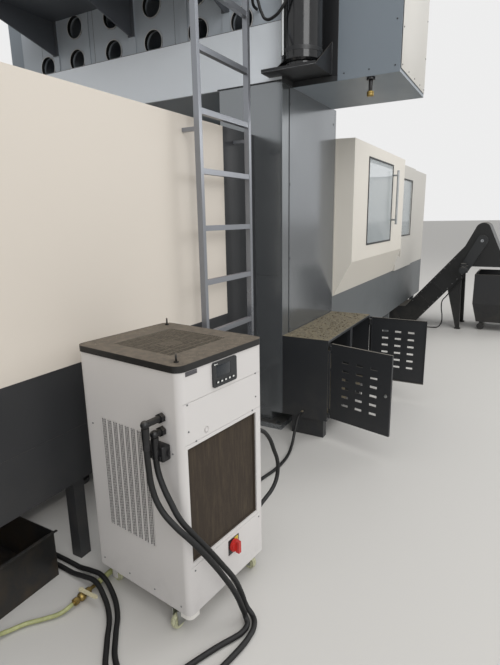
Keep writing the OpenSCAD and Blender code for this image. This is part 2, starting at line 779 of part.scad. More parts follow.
// One telescopic cover section: sides, roof and the bulkhead that faces the table
module way_section(x, step, wall_at_far_end) {
    hy = bed_w / 2 + 30 + step * 14;
    roof = bed_top + way_h + 26 + step * 14;
    leg_z = bed_top - 30;
    wall_x = wall_at_far_end ? x + way_cover_l - sheet_t : x;
    wall_z = bed_top + way_h + (step == 0 ? 0 : slide_gap);
    difference() {
        box([x, -hy, leg_z], [x + way_cover_l, hy, roof]);
        box([x - 1, -hy + sheet_t, leg_z - 1],
            [x + way_cover_l + 1, hy - sheet_t, roof - sheet_t]);
    }
    box([wall_x, -hy, wall_z], [wall_x + sheet_t, hy, roof]);
}

// Cover sections that ride on the two ends of the table
module table_end_covers() {
    color("#9aa0a5") {
        way_section(table_x - table_l / 2 - way_cover_l, 2, true);
        way_section(table_x + table_l / 2, 2, false);
    }
}

module rear_way_cover() {
    rest_x = table_x - table_l / 2 - way_cover_l - x_travel / 2 - way_stagger;
    color("#979da2") way_section(rest_x, 1, true);
}

module front_way_cover() {
    rest_x = table_x + table_l / 2 + x_travel / 2 + way_stagger;
    color("#979da2") way_section(rest_x, 1, false);
}

// Sections fixed at the two ends of the bed
module bed_end_covers() {
    color("#94999e") {
        way_section(table_x - table_l / 2 - way_cover_l - x_travel - 2 * way_stagger, 0, true);
        way_section(table_x + table_l / 2 + x_travel + 2 * way_stagger, 0, false);
    }
}

// Ball screw of the table, with turned-down journals
module x_ball_screw() {
    journal_r = x_screw_r - 10;
    color("#a9adb1") {
        translate([bed_rear_x + 60 + slide_gap, 0, screw_z]) rotate([0, 90, 0])
            cylinder(r = x_screw_r, h = bed_l - 120 - 2 * slide_gap);
        translate([bed_rear_x - 40, 0, screw_z]) rotate([0, 90, 0])
            cylinder(r = journal_r, h = bed_l + 80);
    }
}

// Saddle that runs along the beam: back plate, cheeks, keepers and bearing blocks
module saddle() {
    hw = ram_w / 2 + slide_gap;
    cheek_x1 = ram_x + ram_w;
    keeper_t = 30;
    cheek_z = saddle_z + 60;
    cheek_h = saddle_h - 120;
    color("#6f767d") difference() {
        union() {
            box([saddle_x, -saddle_w / 2, saddle_z],
                [saddle_x + saddle_plate_t, saddle_w / 2, saddle_z + saddle_h]);
            both_sides() {
                box([saddle_x + saddle_plate_t - 1, hw, cheek_z],
                    [cheek_x1 + keeper_t, hw + cheek_t, cheek_z + cheek_h]);
                box([cheek_x1 + slide_gap, hw - 60, cheek_z],
                    [cheek_x1 + keeper_t, hw + 1, cheek_z + cheek_h]);
                box([saddle_x + saddle_plate_t - 1, hw - 60, cheek_z],
                    [ram_x - slide_gap, hw + 1, cheek_z + cheek_h]);
            }
            for (z = [saddle_z + 40, saddle_z + saddle_h - 100])
                box([saddle_x + saddle_plate_t - 1, -50, z],
                    [ram_x - 6, 50, z + 60]);
        }
        for (z = [saddle_z + 39, saddle_z + saddle_h - 101])
            translate([z_screw_x, 0, z])
                cylinder(r = z_screw_r - 6 + shaft_gap, h = 62);
        // Clearance channel for the beam's ball screw and its nut
        box([saddle_x - 1, -saddle_w / 2 - 1, beam_axis_z - 45],
            [y_screw_x + 45, saddle_w / 2 + 1, beam_axis_z + 45]);
    }
    // Nut of the beam's ball screw, held in the channel
    color("#6f767d") difference() {
        box([y_screw_x - 45, -90, beam_axis_z - 45], [y_screw_x + 45, 90, beam_axis_z + 45]);
        translate([y_screw_x, -91, beam_axis_z]) rotate([-90, 0, 0])
            cylinder(r = y_screw_r + shaft_gap, h = 182);
    }
}

// Ball screw along the beam, journals in the two bearing blocks
module y_ball_screw() {
    inner = column_out - 40 - bearing_w - slide_gap;
    color("#a9adb1") {
        translate([y_screw_x, -inner, beam_axis_z]) rotate([-90, 0, 0])
            cylinder(r = y_screw_r, h = 2 * inner);
        translate([y_screw_x, -column_out + 30, beam_axis_z]) rotate([-90, 0, 0])
            cylinder(r = y_screw_r - 8, h = 2 * column_out - 60);
    }
}

// Square ram with the spindle bore, a tapered lower end and the screw nut
module ram() {
    color("#7b8289") difference() {
        union() {
            translate([ram_x, -ram_w / 2, ram_z]) cube([ram_w, ram_w, ram_h]);
            translate([spindle_x, 0, ram_z - nose_cone_h])
                cylinder(r1 = 115, r2 = 160, h = nose_cone_h + 1);
            translate([ram_x - ram_gap + 3, -34, ram_nut_z - 60])
                cube([ram_gap - 2, 68, 120]);
        }
        translate([spindle_x, 0, ram_z - nose_cone_h - 1])
            cylinder(r = spindle_r + shaft_gap, h = 420);
        translate([z_screw_x, 0, ram_nut_z - 61])
            cylinder(r = z_screw_r + shaft_gap, h = 122);
    }
}

// Ball screw of the ram, journals in the saddle's bearing blocks
module z_ball_screw() {
    z0 = saddle_z + 100 + slide_gap;
    z1 = saddle_z + saddle_h - 100 - slide_gap;
    color("#a9adb1") translate([z_screw_x, 0, 0]) {
        translate([0, 0, z0]) cylinder(r = z_screw_r, h = z1 - z0);
        translate([0, 0, saddle_z + 20]) cylinder(r = z_screw_r - 6, h = saddle_h - 30);
    }
}

// Spindle with a 7:24 taper socket and two drive keys
module spindle() {
    gauge_r = 34.925;
    socket_l = 101.6;
    nose_h = ram_z - nose_cone_h - nose_z;
    color("#b9bcc0") translate([spindle_x, 0, nose_z]) difference() {
        union() {
            cylinder(r = 64, h = 350);
            translate([0, 0, nose_h]) cylinder(r = spindle_r, h = 320);
            for (a = [0, 180]) rotate([0, 0, a])
                translate([44, -12.7, -10]) cube([18, 25.4, 11]);
        }
        translate([0, 0, -0.01])
            cylinder(r1 = gauge_r, r2 = gauge_r - socket_l * 7 / 48, h = socket_l);
        translate([0, 0, 100]) cylinder(r = 13, h = 400);
    }
}

// Low valve cabinet in front of the near column, open to the front
module cabinet() {
    post_w = 2 * (column_hx - 12 - cabinet_door_w);
    y1 = -column_out;
    color("#2f3236") difference() {
        union() {
            difference() {
                box([-column_hx, cabinet_y, skirt_z], [column_hx, y1, cabinet_top]);
                box([-column_hx + sheet_t, cabinet_y - 1, skirt_z + 30],
                    [column_hx - sheet_t, y1 - sheet_t, cabinet_top - 20]);
            }
            box([-post_w / 2 + 12, cabinet_y, skirt_z + 29],
                [post_w / 2 - 12, cabinet_y + 30, cabinet_top - 19]);
            translate(cabinet_gland) rotate([0, 90, 0]) cylinder(r = 13, h = 29);
            // Feet and a shelf for the valve blocks
            for (x = [-column_hx + 40, column_hx - 100])
                box([x, cabinet_y + 40, 0], [x + 60, y1 - 60, skirt_z + 1]);
            box([-column_hx + sheet_t - 1, cabinet_y + 120, 420],
                [column_hx - sheet_t + 1, y1 - sheet_t + 1, 426]);
            for (x = [near_hinge_x, far_hinge_x],
                    z = [cabinet_door_z0 + 20, cabinet_door_z0 + cabinet_door_h - 70])
                box([x > 0 ? x - 5 : -column_hx + 1, hinge_y - 1, z],
                    [x > 0 ? column_hx - 1 : x + 5, cabinet_y + 2, z + 20]);
        }
    }
    color("#55585c")
        for (x = [near_hinge_x, far_hinge_x],
                z = [cabinet_door_z0 + 20, cabinet_door_z0 + cabinet_door_h - 70])
            translate([x, hinge_y, z]) {
                cylinder(r = knuckle_r, h = 20);
                cylinder(r = hinge_r, h = 50);
            }
}

// One slotted cabinet door drawn closed, hinge axis at the origin, towards +X
module slotted_door() {
    t = 3;
    rim = 16;
    slot_cols = 3;
    slot_rows = 6;
    slot_l = 52;
    slot_h = 16;
    plate_y = 9;
    difference() {
        union() {
            box([12, plate_y - rim, 0], [cabinet_door_w, plate_y, cabinet_door_h]);
            for (z = [40 + slide_gap, cabinet_door_h - 50 + slide_gap])
                translate([0, 0, z]) {
                    cylinder(r = knuckle_r, h = 30 - slide_gap);
                    box([0, -knuckle_r, 0], [16, -6, 30 - slide_gap]);
                }
            // Quarter-turn latch
            translate([cabinet_door_w - 34, plate_y - rim, cabinet_door_h / 2])
                rotate([90, 0, 0]) cylinder(r = 12, h = 6);
        }
        box([12 + t, plate_y - rim + t, t],
            [cabinet_door_w - t, plate_y + 1, cabinet_door_h - t]);
        for (c = [0:slot_cols - 1], r = [0:slot_rows - 1])
            translate([104 + c * 108, plate_y - rim - 1, 118 + r * 62])
                cube([slot_l, rim + 2, slot_h]);
        for (z = [40, cabinet_door_h - 50])
            translate([0, 0, z - 1]) cylinder(r = hinge_r + shaft_gap, h = 34);
    }
}

module cabinet_door_near() {
    color("#303338") translate([near_hinge_x, hinge_y, cabinet_door_z0])
        rotate([0, 0, -near_door_angle]) slotted_door();
}

module cabinet_door_far() {
    color("#303338") translate([far_hinge_x, hinge_y, cabinet_door_z0])
        rotate([0, 0, far_door_angle]) mirror([1, 0, 0]) slotted_door();
}

// Shelf bracket of the lubricant tank, wrapped round the beam's rear corner
module tank_bracket() {
    t = 5;
    rear_x = -column_hx;
    color("#1f2124") {
        box([bracket_front_x, bracket_y0, bracket_z], [rear_x, bracket_y1, bracket_z + t]);
        box([rear_x - 1, bracket_y0, bracket_z], [bracket_x, -column_out - 1, bracket_z + t]);
        for (y = [bracket_y0, -column_out - 1 - t])
            translate([0, y + t, 0]) rotate([90, 0, 0]) linear_extrude(t)
                polygon([[bracket_front_x, bracket_z + t - 1], [bracket_x, bracket_z + t - 1],
                    [bracket_x, bracket_z + 200]]);
        box([bracket_x - t, bracket_y0 - 37, bracket_z], [bracket_x, -column_out - 1,
            bracket_z + tank_h]);
        box([bracket_front_x, bracket_y0, bracket_z], [bracket_front_x + t, bracket_y1,
            bracket_z + 22]);
    }
}

// Lubricant tank: a glossy cylinder with domed ends, a cap and a sight tube
module lubricant_tank() {
    z0 = bracket_z + 5;
    color("#26282b") translate([tank_x, tank_y, z0]) {
        rotate_extrude() polygon([[0, 0], [tank_r - 24, 0], [tank_r - 24, 32],
            [tank_r - 10, 36], [tank_r, 48], [tank_r, tank_h - 60], [tank_r - 14, tank_h - 30], [tank_r - 48, tank_h - 12],
            [0, tank_h - 6]]);
        cylinder(r = 22, h = tank_h + 13);
        rotate([0, 0, 148]) {
            for (z = [70, tank_h - 120])
                translate([tank_r - 6, 0, z]) rotate([0, 90, 0]) cylinder(r = 7, h = 22);
            translate([tank_r + 12, 0, 56]) cylinder(r = 6, h = tank_h - 162);
        }
    }
}

module tank_cable() {
    color("#141416") tube_along(tank_cable_route, 9, 8);
}

// Side outline of the conveyor, shrunk by inset; s grows outwards, z up
module conveyor_outline(inset) {
    arm_l = 1290;
    translate([-640 + inset, conveyor_floor + inset])
        square([1970 - 2 * inset, conveyor_t - 2 * inset]);
    translate([conveyor_s0, conveyor_floor]) rotate(conveyor_slope)
        translate([0, inset]) square([arm_l, conveyor_t - 2 * inset]);
    translate([conveyor_s0 - conveyor_t, conveyor_floor + inset])
        square([conveyor_t, conveyor_t * 0.7 - inset]);
    hull() {
        translate(head_peak) circle(head_r - inset);
        translate([2010 + inset, 1060]) square([30, 90 - inset]);
        translate([2094 + inset, 891 - (inset > 0 ? 1 : 0)])
            square([376 - 2 * inset, 170]);
    }
}

// Turns a side outline into a slab that spans x0 to x1
module conveyor_slab(x0, x1) {
    translate([x1, 0, 0]) rotate([0, 0, -90]) rotate([90, 0, 0])
        linear_extrude(x1 - x0) children();
}

// Conveyor housing: pick-up trunk, rising arm, round head, chute and legs
module conveyor_body() {
    x0 = conveyor_x;
    x1 = conveyor_x + conveyor_w;
    color("#1d1e20") difference() {
        union() {
            conveyor_slab(x0, x1) conveyor_outline(0);
            for (x = [x0 + 10, x1 - 70])
                conveyor_slab(x, x + 60)
                    polygon([[1834, 560], [2001, 775], [2025, 12], [1975, 12]]);
            for (x = [x0 + 40, x1 - 40])
                translate([x, -2000, 0]) cylinder(r = 42, h = 14);
            translate([x0 - 22, -1190, 90]) rotate([0, 90, 0]) cylinder(r = 12, h = 23);
        }
        conveyor_slab(x0 + conveyor_wall, x1 - conveyor_wall)
            conveyor_outline(conveyor_wall);
        // Open top of the pick-up trunk inside the guards
        box([x0 + 30, -930, conveyor_t - 20], [x1 - 30, 600, conveyor_t + 60]);
        translate([x0 - 1, -head_s, head_z]) rotate([0, 90, 0])
            cylinder(r = drive_r + shaft_gap, h = conveyor_w + 2);
    }
}

// Drive shaft with its two chain sprockets
module conveyor_shaft() {
    teeth = 12;
    root_r = 96;
    tooth_h = 26;
    color("#8e9296") translate([conveyor_x - 40, -head_s, head_z]) rotate([0, 90, 0]) {
        cylinder(r = drive_r, h = conveyor_w + 60);
        for (x = [120, conveyor_w - 80]) translate([0, 0, x]) {
            linear_extrude(16) {
                circle(root_r);
                for (k = [0:teeth - 1]) rotate(360 * k / teeth)
                    polygon([[root_r - 8, -18], [root_r + tooth_h, -6],
                        [root_r + tooth_h, 6], [root_r - 8, 18]]);
            }
            cylinder(r = 42, h = 46);
        }
    }
}

// Gear motor on the near side of the arm, with the chain guard up to the head shaft
module conveyor_motor() {
    guard_t = 34;
    gear_y = -2035;
    gear_z = 862;
    x0 = conveyor_x - guard_t;
    color("#2b2d30") difference() {
        union() {
            translate([x0, 0, 0]) rotate([90, 0, 90]) linear_extrude(guard_t) hull() {
                translate([gear_y, gear_z]) circle(60);
                translate([-head_s, head_z]) circle(72);
            }
            box([x0 - 74, gear_y - 46, gear_z - 50], [x0 + 1, gear_y + 46, gear_z + 46]);
            translate([x0 - 262, gear_y, gear_z]) rotate([0, 90, 0]) cylinder(r = 44, h = 190);
            for (k = [0:6])
                translate([x0 - 238 + k * 22, gear_y, gear_z]) rotate([0, 90, 0])
                    cylinder(r = 50, h = 9);
            translate([x0 - 270, gear_y, gear_z]) rotate([0, 90, 0]) cylinder(r = 34, h = 9);
            box([x0 - 190, gear_y - 30, gear_z + 38], [x0 - 110, gear_y + 30, gear_z + 84]);
            translate([x0 - 40, gear_y, gear_z - 62]) cylinder(r = 12, h = 14);
        }
        translate([x0 - 1, -head_s, head_z]) rotate([0, 90, 0])
            cylinder(r = drive_r + shaft_gap, h = guard_t + 2);
    }
}

module conveyor_cable() {
    color("#18191b") tube_along(conveyor_cable_route, 8, 8);
}

// Tipping cart under the chute, on four fixed rollers
module chip_cart() {
    t = 5;
    flare = 60;
    color("#232426") translate([cart_x, cart_y, 0]) {
        difference() {
            hull() {
                translate([flare, flare, cart_z0])
                    cube([cart_l - 2 * flare, cart_w - 2 * flare, 1]);
                translate([0, 0, cart_z0 + 260]) cube([cart_l, cart_w, cart_h - 260]);
            }
            hull() {
                translate([flare + t, flare + t, cart_z0 + t])
                    cube([cart_l - 2 * flare - 2 * t, cart_w - 2 * flare - 2 * t, 1]);
                translate([t, t, cart_z0 + 260])
                    cube([cart_l - 2 * t, cart_w - 2 * t, cart_h]);
            }
        }
        for (x = [120, cart_l - 120], y = [120, cart_w - 120])
            translate([x, y, 0]) {
                translate([-16, 0, 48]) rotate([0, 90, 0]) cylinder(r = 48, h = 32);
                for (dx = [-24, 17]) translate([dx, -18, 40]) cube([7, 36, cart_z0 - 39]);
                translate([-24, 0, 48]) rotate([0, 90, 0]) cylinder(r = 8, h = 48);
            }
    }
}

// Open steel tray on the floor under the rear guard
module coolant_tray() {
    x0 = -4000;
    x1 = -2366;
    y0 = -rear_guard_y + panel_t + 7;
    y1 = -bed_w / 2 - 40;
    h = 228;
    t = 4;
    color("#1f2022") {
        difference() {
            box([x0, y0, 0], [x1, y1, h]);
            box([x0 + t, y0 + t, t], [x1 - t, y1 - t, h + 1]);
        }
        box([x0 - 12, y0 - 12, h - 4], [x1 + 12, y0, h]);
        box([x0 - 12, y1, h - 4], [x1 + 12, y1 + 12, h]);
        translate([-2760, -1023, 50]) rotate([-90, 0, 0]) cylinder(r = 14, h = y0 + 1027);
    }
}

// Chiller cabinet: fan well, filter recess, perforated side and castor brackets
module chiller_housing() {
    z0 = chiller_foot;
    filter_u0 = 30;
    filter_u1 = chiller_w - 51;
    perf_cols = 8;
    perf_rows = 33;
    perf_pitch_v = 34.5;
    perf_pitch_z = 14.4;
    well = 2 * fan_r + 40;
    color("#d9d6d2") chiller_place() {
        difference() {
            union() {
                translate([0, 0, z0]) rounded_plate([chiller_w, chiller_d], 26, housing_h);
                translate([8, 8, z0 - 6]) cube([chiller_w - 16, chiller_d - 16, 7]);
            }
            translate([fan_u - well / 2, fan_v - well / 2, chiller_h - top_plate_t - 240])
                cube([well, well, 241]);
            box([filter_u0, -1, 318], [filter_u1, 26, 786]);
            for (c = [0:perf_cols - 1], r = [0:perf_rows - 1])
                translate([-1, 172 + c * perf_pitch_v, 342 + r * perf_pitch_z])
                    cube([7, 25, 7]);
            // Joint lines of the front panels
            for (z = [300, 800, 956]) box([-1, -1, z], [chiller_w + 1, 2, z + 2]);
            // Hand hole with its key lock
            translate([133, 3, 825]) rotate([90, 0, 0]) cylinder(r = 13, h = 8);
            // Recess of the switch plate
            box([238, -1, 214], [310, 2, 286]);
            translate([274, 30, 250]) rotate([90, 0, 0])
                cylinder(r = 6 + shaft_gap, h = 60);
        }
        translate([133, 3, 825]) rotate([90, 0, 0]) cylinder(r = 8, h = 5);
        // Cable gland low on the right side
        translate([chiller_w - 1, gland_v, 640]) rotate([0, 90, 0])
            cylinder(r = 15, h = 31);
        // Forks of the two rigid rear castors
        for (u = [castor_inset_u, chiller_w - castor_inset_u])
            translate([u, chiller_d - castor_inset_v, 0]) {
                translate([-28, -28, z0 - 10]) cube([56, 56, 5]);
                for (d = [-wheel_w / 2 - 6, wheel_w / 2 + 1])
                    translate([d, -14, wheel_r - 10]) cube([5, 28, z0 - 6 - wheel_r + 10]);
                translate([-wheel_w / 2 - 6, 0, wheel_r]) rotate([0, 90, 0])
                    cylinder(r = axle_r, h = wheel_w + 12);
            }
    }
}

// Top plate with rounded corners, a recessed guard grille and lifting eyes
module chiller_top() {
    open_w = 2 * fan_r + 20;
    bars = 15;
    bar_w = 4;
    z0 = chiller_h - top_plate_t;
    color("#5c544a") chiller_place() {
        difference() {
            translate([-top_overhang, -top_overhang, z0])
                rounded_plate([chiller_w + 2 * top_overhang, chiller_d + 2 * top_overhang],
                    38, top_plate_t);
            translate([fan_u - open_w / 2, fan_v - open_w / 2, z0 - 1])
                cube([open_w, open_w, top_plate_t + 2]);
        }
        for (k = [1:bars])
            translate([fan_u - open_w / 2 - 1,
                    fan_v - open_w / 2 + k * open_w / (bars + 1) - bar_w / 2, z0 + 8])
                cube([open_w + 2, bar_w, 6]);
        for (k = [-1, 0, 1])
            translate([fan_u + k * open_w / 4 - 5, fan_v - open_w / 2 - 1, z0 + 3])
                cube([10, open_w + 2, 6]);
        translate([fan_u, fan_v, z0 + 3]) cylinder(r = 46, h = 12);
        for (p = [[40, 44], [chiller_w - 40, chiller_d - 44]])
            translate([p.x, p.y, chiller_h - 1]) {
                cylinder(r = 9, h = 7);
                translate([0, 0, 19]) rotate([90, 0, 45]) translate([0, 0, -3.5])
                    rotate_extrude() translate([12, 3.5]) circle(3.5);
            }
    }
}

// Axial fan under the grille, on its motor shaft
module chiller_fan() {
    blades = 5;
    z = chiller_h - top_plate_t - 70;
    color("#1c1d1f") chiller_place() translate([fan_u, fan_v, z]) {
        cylinder(r = 42, h = 46);
        translate([0, 0, -170 + 0.3]) cylinder(r = 10, h = 200);
        for (k = [0:blades - 1]) rotate([0, 0, 360 * k / blades])
            translate([34, -7, 22]) rotate([28, 0, 0])
                translate([0, -42, -2]) cube([fan_r - 42, 84, 4]);
    }
}

// Removable filter in the front recess: a folded frame round the mesh panel
module chiller_filter() {
    u0 = 31;
    u1 = chiller_w - 52;
    z0 = 319;
    z1 = 785;
    rim = 7;
    color("#473c30") chiller_place() {
        difference() {
            box([u0, 6, z0], [u1, 25.7, z1]);
            box([u0 + rim, 5, z0 + rim], [u1 - rim, 12, z1 - rim]);
        }
    }
}

// Control panel with a display window and five keys
module control_panel() {
    u0 = 174;
    z0 = 973;
    w = 140;
    h = 96;
    t = 7;
    color("#232527") chiller_place() translate([u0, 0, z0]) rotate([90, 0, 0]) {
        difference() {
            rounded_plate([w, h], 9, t);
            translate([18, 36, t - 1.5]) cube([84, 46, 2]);
        }
        for (k = [0:4]) translate([16 + k * 23, 12, t - 0.5])
            rounded_plate([16, 12], 2, 2.5);
    }
}

// Red rotary knob of the main switch on its spindle
module mains_switch_knob() {
    color("#b5372e") chiller_place() translate([274, 0, 250]) rotate([90, 0, 0]) {
        translate([0, 0, -25]) cylinder(r = 6, h = 30);
        translate([0, 0, 0.3]) cylinder(r = 27, h = 9);
        translate([0, 0, 9]) cylinder(r = 22, h = 8);
        translate([-8, -26, 16]) cube([16, 52, 17]);
    }
}

// Elbow fittings: two on the chiller's side, two on the bed's side
module hose_fittings() {
    starts = [supply_route[0], return_route[0]];
    ends = [supply_route[len(supply_route) - 1], return_route[len(return_route) - 1]];
    nut_h = 16;
    color("#2a2b2d") {
        for (i = [0, 1]) {
            translate([starts[i].x, starts[i].y, starts[i].z])
                cylinder(r = 14, h = 40);
            translate([starts[i].x, starts[i].y, starts[i].z + 52]) sphere(16);
            translate([starts[i].x, starts[i].y, starts[i].z + 52])
                rotate([0, 90, chiller_turn]) cylinder(r = 12, h = port_reach[i]);
            translate([starts[i].x, starts[i].y, starts[i].z + 52])
                rotate([0, 90, chiller_turn]) translate([0, 0, port_reach[i] - nut_h - 4])
                    cylinder(r = 19, h = nut_h, $fn = 6);
        }
        for (e = ends) translate([e.x, e.y, e.z]) rotate([-90, 0, 0]) {
            cylinder(r = 14, h = -bed_w / 2 - e.y);
            cylinder(r = 18, h = nut_h, $fn = 6);
        }
    }
}

// Swivelling castor fork, drawn over its swivel axis
module castor_fork() {
    top = chiller_foot - 6.3;
    color("#a8abad") {
        translate([0, 0, top - 8]) cylinder(r = 24, h = 8);
        for (d = [-wheel_w / 2 - 6, wheel_w / 2 + 1])
            translate([d, -castor_trail - 13, wheel_r - 10])
                cube([5, castor_trail + 26, top - 2 - wheel_r + 10]);
        translate([-wheel_w / 2 - 6, -castor_trail, wheel_r]) rotate([0, 90, 0])
            cylinder(r = axle_r, h = wheel_w + 12);
        translate([-wheel_w / 2 - 6, -13, top - 6]) cube([wheel_w + 12, 26, 5]);
    }
}

// Castor wheel with a crowned tread and a running bore
module castor_wheel() {
    color("#c9cfae") rotate([0, 90, 0]) rotate_extrude()
        polygon([[axle_r + shaft_gap, -wheel_w / 2 + 0.4], [14, -wheel_w / 2 + 0.4],
            [14, -wheel_w / 2 + 3], [wheel_r - 6, -wheel_w / 2 + 3],
            [wheel_r - 3, -wheel_w / 2 + 1], [wheel_r - 1, -wheel_w / 4], [wheel_r, 0],
            [wheel_r - 1, wheel_w / 4], [wheel_r - 3, wheel_w / 2 - 1],
            [wheel_r - 6, wheel_w / 2 - 3], [14, wheel_w / 2 - 3],
            [14, wheel_w / 2 - 0.4], [axle_r + shaft_gap, wheel_w / 2 - 0.4]]);
}

module castor_fork_left() {
    chiller_place() translate([left_castor.x, left_castor.y, 0])
        rotate([0, 0, left_castor_turn]) castor_fork();
}

module castor_fork_right() {
    chiller_place() translate([right_castor.x, right_castor.y, 0]) castor_fork();
}

module castor_wheel_left() {
    chiller_place() translate([left_castor.x, left_castor.y, 0])
        rotate([0, 0, left_castor_turn]) translate([0, -castor_trail, wheel_r])
            castor_wheel();
}

module castor_wheel_right() {
    chiller_place() translate([right_castor.x, right_castor.y - castor_trail, wheel_r])
        castor_wheel();
}

module rear_castor_wheels() {
    chiller_place()
        for (u = [castor_inset_u, chiller_w - castor_inset_u])
            translate([u, chiller_d - castor_inset_v, wheel_r]) castor_wheel();
}

module supply_hose() {
    color("#17181a") tube_along(supply_route, hose_r, 10);
}

module return_hose() {
    color("#17181a") tube_along(return_route, hose_r, 10);
}

module power_cable() {
    color("#1b1c1e") tube_along(power_route, 10, 8);
}

module drain_hose() {
    color("#a3ab6e") tube_along(drain_route, 9, 10);
}

// Ball valve on the drain pipe that comes down from the chiller
module drain_valve() {
    y = valve_y;
    z = 22;
    pipe_x1 = -2190;
    color("#b39a5b") {
        translate([pipe_x1, y, z]) cylinder(r = 8, h = chiller_foot - 6 - z);
        translate([pipe_x1, y, z]) sphere(9);
        translate([valve_x - 52, y, z]) rotate([0, 90, 0])
            cylinder(r = 8, h = pipe_x1 - valve_x + 52);
        translate([valve_x, y, z]) sphere(20);
        for (dx = [-42, 24])
            translate([valve_x + dx, y, z]) rotate([0, 90, 0])
                cylinder(r = 16, h = 18, $fn = 6);
        translate([valve_x, y, z]) cylinder(r = 6, h = 30);
    }
}

// Lever of the ball valve on its stem
module valve_lever() {
    color("#c23a2e") translate([valve_x, valve_y, 52 + slide_gap]) {
        translate([-9, -86, 0]) cube([18, 86, 3]);
        translate([0, -86, 0]) cylinder(r = 9, h = 3);
        cylinder(r = 11, h = 6);
    }
}

bed();
levelling_pads();
column_near();
column_far();
column_covers();
crossbeam();
beam_rear_cover();
beam_end_covers();
rear_deck();
ladder();
rear_guard_upper();
rear_guard_lower();
front_guard_upper();
front_guard_lower();
front_door_left();
front_door_right();
door_window_left();
door_window_right();
door_handle_left();
table();
table_end_covers();
rear_way_cover();
front_way_cover();
bed_end_covers();
x_ball_screw();
saddle();
y_ball_screw();
ram();
z_ball_screw();
spindle();
cabinet();
cabinet_door_near();
cabinet_door_far();
tank_bracket();
lubricant_tank();
tank_cable();
conveyor_body();
conveyor_shaft();
conveyor_motor();
conveyor_cable();
chip_cart();
coolant_tray();
chiller_housing();
chiller_top();
chiller_fan();
chiller_filter();
control_panel();
mains_switch_knob();
hose_fittings();
castor_fork_left();
castor_fork_right();
castor_wheel_left();
castor_wheel_right();
rear_castor_wheels();
supply_hose();
return_hose();
power_cable();
drain_hose();
drain_valve();
valve_lever();
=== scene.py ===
# %% [markdown]
# A double-column machining center with its oil chiller
#
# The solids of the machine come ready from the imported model. This script gives
# them finishes, adds the small pieces that a solid model leaves plain, and sets
# up a camera, a pale floor and soft lamps. Sizes are in metres, and those of
# cords and textures are in millimetres.

import json
import math
import random

import bmesh
import bpy
from mathutils import Matrix, Vector


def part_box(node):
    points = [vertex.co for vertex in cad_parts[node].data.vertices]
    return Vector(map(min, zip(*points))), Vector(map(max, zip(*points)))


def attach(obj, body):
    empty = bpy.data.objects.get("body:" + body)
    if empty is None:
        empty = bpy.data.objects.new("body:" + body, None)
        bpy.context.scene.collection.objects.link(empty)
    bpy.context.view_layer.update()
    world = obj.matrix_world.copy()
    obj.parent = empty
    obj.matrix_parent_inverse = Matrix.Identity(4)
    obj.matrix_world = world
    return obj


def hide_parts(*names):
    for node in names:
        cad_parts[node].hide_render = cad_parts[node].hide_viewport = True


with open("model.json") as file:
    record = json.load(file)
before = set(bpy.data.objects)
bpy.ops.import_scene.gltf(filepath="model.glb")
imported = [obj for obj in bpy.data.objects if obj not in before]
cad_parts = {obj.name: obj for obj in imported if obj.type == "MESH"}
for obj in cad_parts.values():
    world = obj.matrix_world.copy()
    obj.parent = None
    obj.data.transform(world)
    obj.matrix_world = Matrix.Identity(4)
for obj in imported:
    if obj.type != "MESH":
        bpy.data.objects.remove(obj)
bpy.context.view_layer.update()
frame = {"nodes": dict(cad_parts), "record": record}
nodes = frame["nodes"]
chance = random.Random(17)

# %% [markdown]
# The camera stands beside the rear enclosure at eye height and looks along the
# machine. Its place and turn were worked out from straight edges of known
# direction, such as the ladder's rails and the joints of the guard panels.

# %% Camera
EYE = Vector((-3.58, -2.70, 1.58))
YAW, PITCH, ROLL = (math.radians(a) for a in (29.373, 13.353, 0.944))
LENS_MM = 26.01
SENSOR_MM = 36
SIGHT = 400

ahead = Vector((math.cos(YAW) * math.cos(PITCH), math.sin(YAW) * math.cos(PITCH), -math.sin(PITCH)))
right = Vector((math.sin(YAW), -math.cos(YAW), 0))
down = ahead.cross(right)
right_rolled = right * math.cos(ROLL) + down * math.sin(ROLL)
down_rolled = down * math.cos(ROLL) - right * math.sin(ROLL)

camera_data = bpy.data.cameras.new("eye")
camera_data.sensor_width = SENSOR_MM
camera_data.lens = LENS_MM
camera_data.clip_end = SIGHT
camera = bpy.data.objects.new("eye", camera_data)
turn = Matrix((right_rolled, -down_rolled, -ahead)).transposed()
camera.matrix_world = Matrix.Translation(EYE) @ turn.to_4x4()
bpy.context.collection.objects.link(camera)
bpy.context.scene.camera = camera
print("camera at", tuple(EYE))

# %% [markdown]
# Colours are written as the sRGB hex values that a paint program shows. The
# shader wants linear light, so one function turns each of them. Patterns are
# noise textures on object coordinates, so that a size in them is a real size.

# %% Colours and shader nodes
def linear(hex_colour):
    channels = [int(hex_colour[i : i + 2], 16) / 255 for i in (1, 3, 5)]
    return tuple(c / 12.92 if c <= 0.04045 else ((c + 0.055) / 1.055) ** 2.4 for c in channels) + (1,)


def scaled(colour, factor, lift=0.0):
    return tuple(min(1, c * factor + lift) for c in colour[:3]) + (1,)


def per_metre(size_mm):
    return 1000 / size_mm


def pick(sockets, key):
    if isinstance(key, int):
        return sockets[key]
    return next(s for s in sockets if s.name == key and s.enabled)


def plug(tree, node, inputs):
    for key, value in inputs.items():
        if isinstance(value, bpy.types.NodeSocket):
            tree.links.new(value, pick(node.inputs, key))
        else:
            pick(node.inputs, key).default_value = value


def add(tree, kind, inputs=None, **settings):
    node = tree.nodes.new(kind)
    for key, value in settings.items():
        setattr(node, key, value)
    plug(tree, node, inputs or {})
    return node


def mix(tree, share, first, second, data_type="RGBA"):
    node = add(tree, "ShaderNodeMix", {"Factor": share, "A": first, "B": second}, data_type=data_type)
    return pick(node.outputs, "Result")


def object_place(tree):
    return add(tree, "ShaderNodeTexCoord").outputs["Object"]


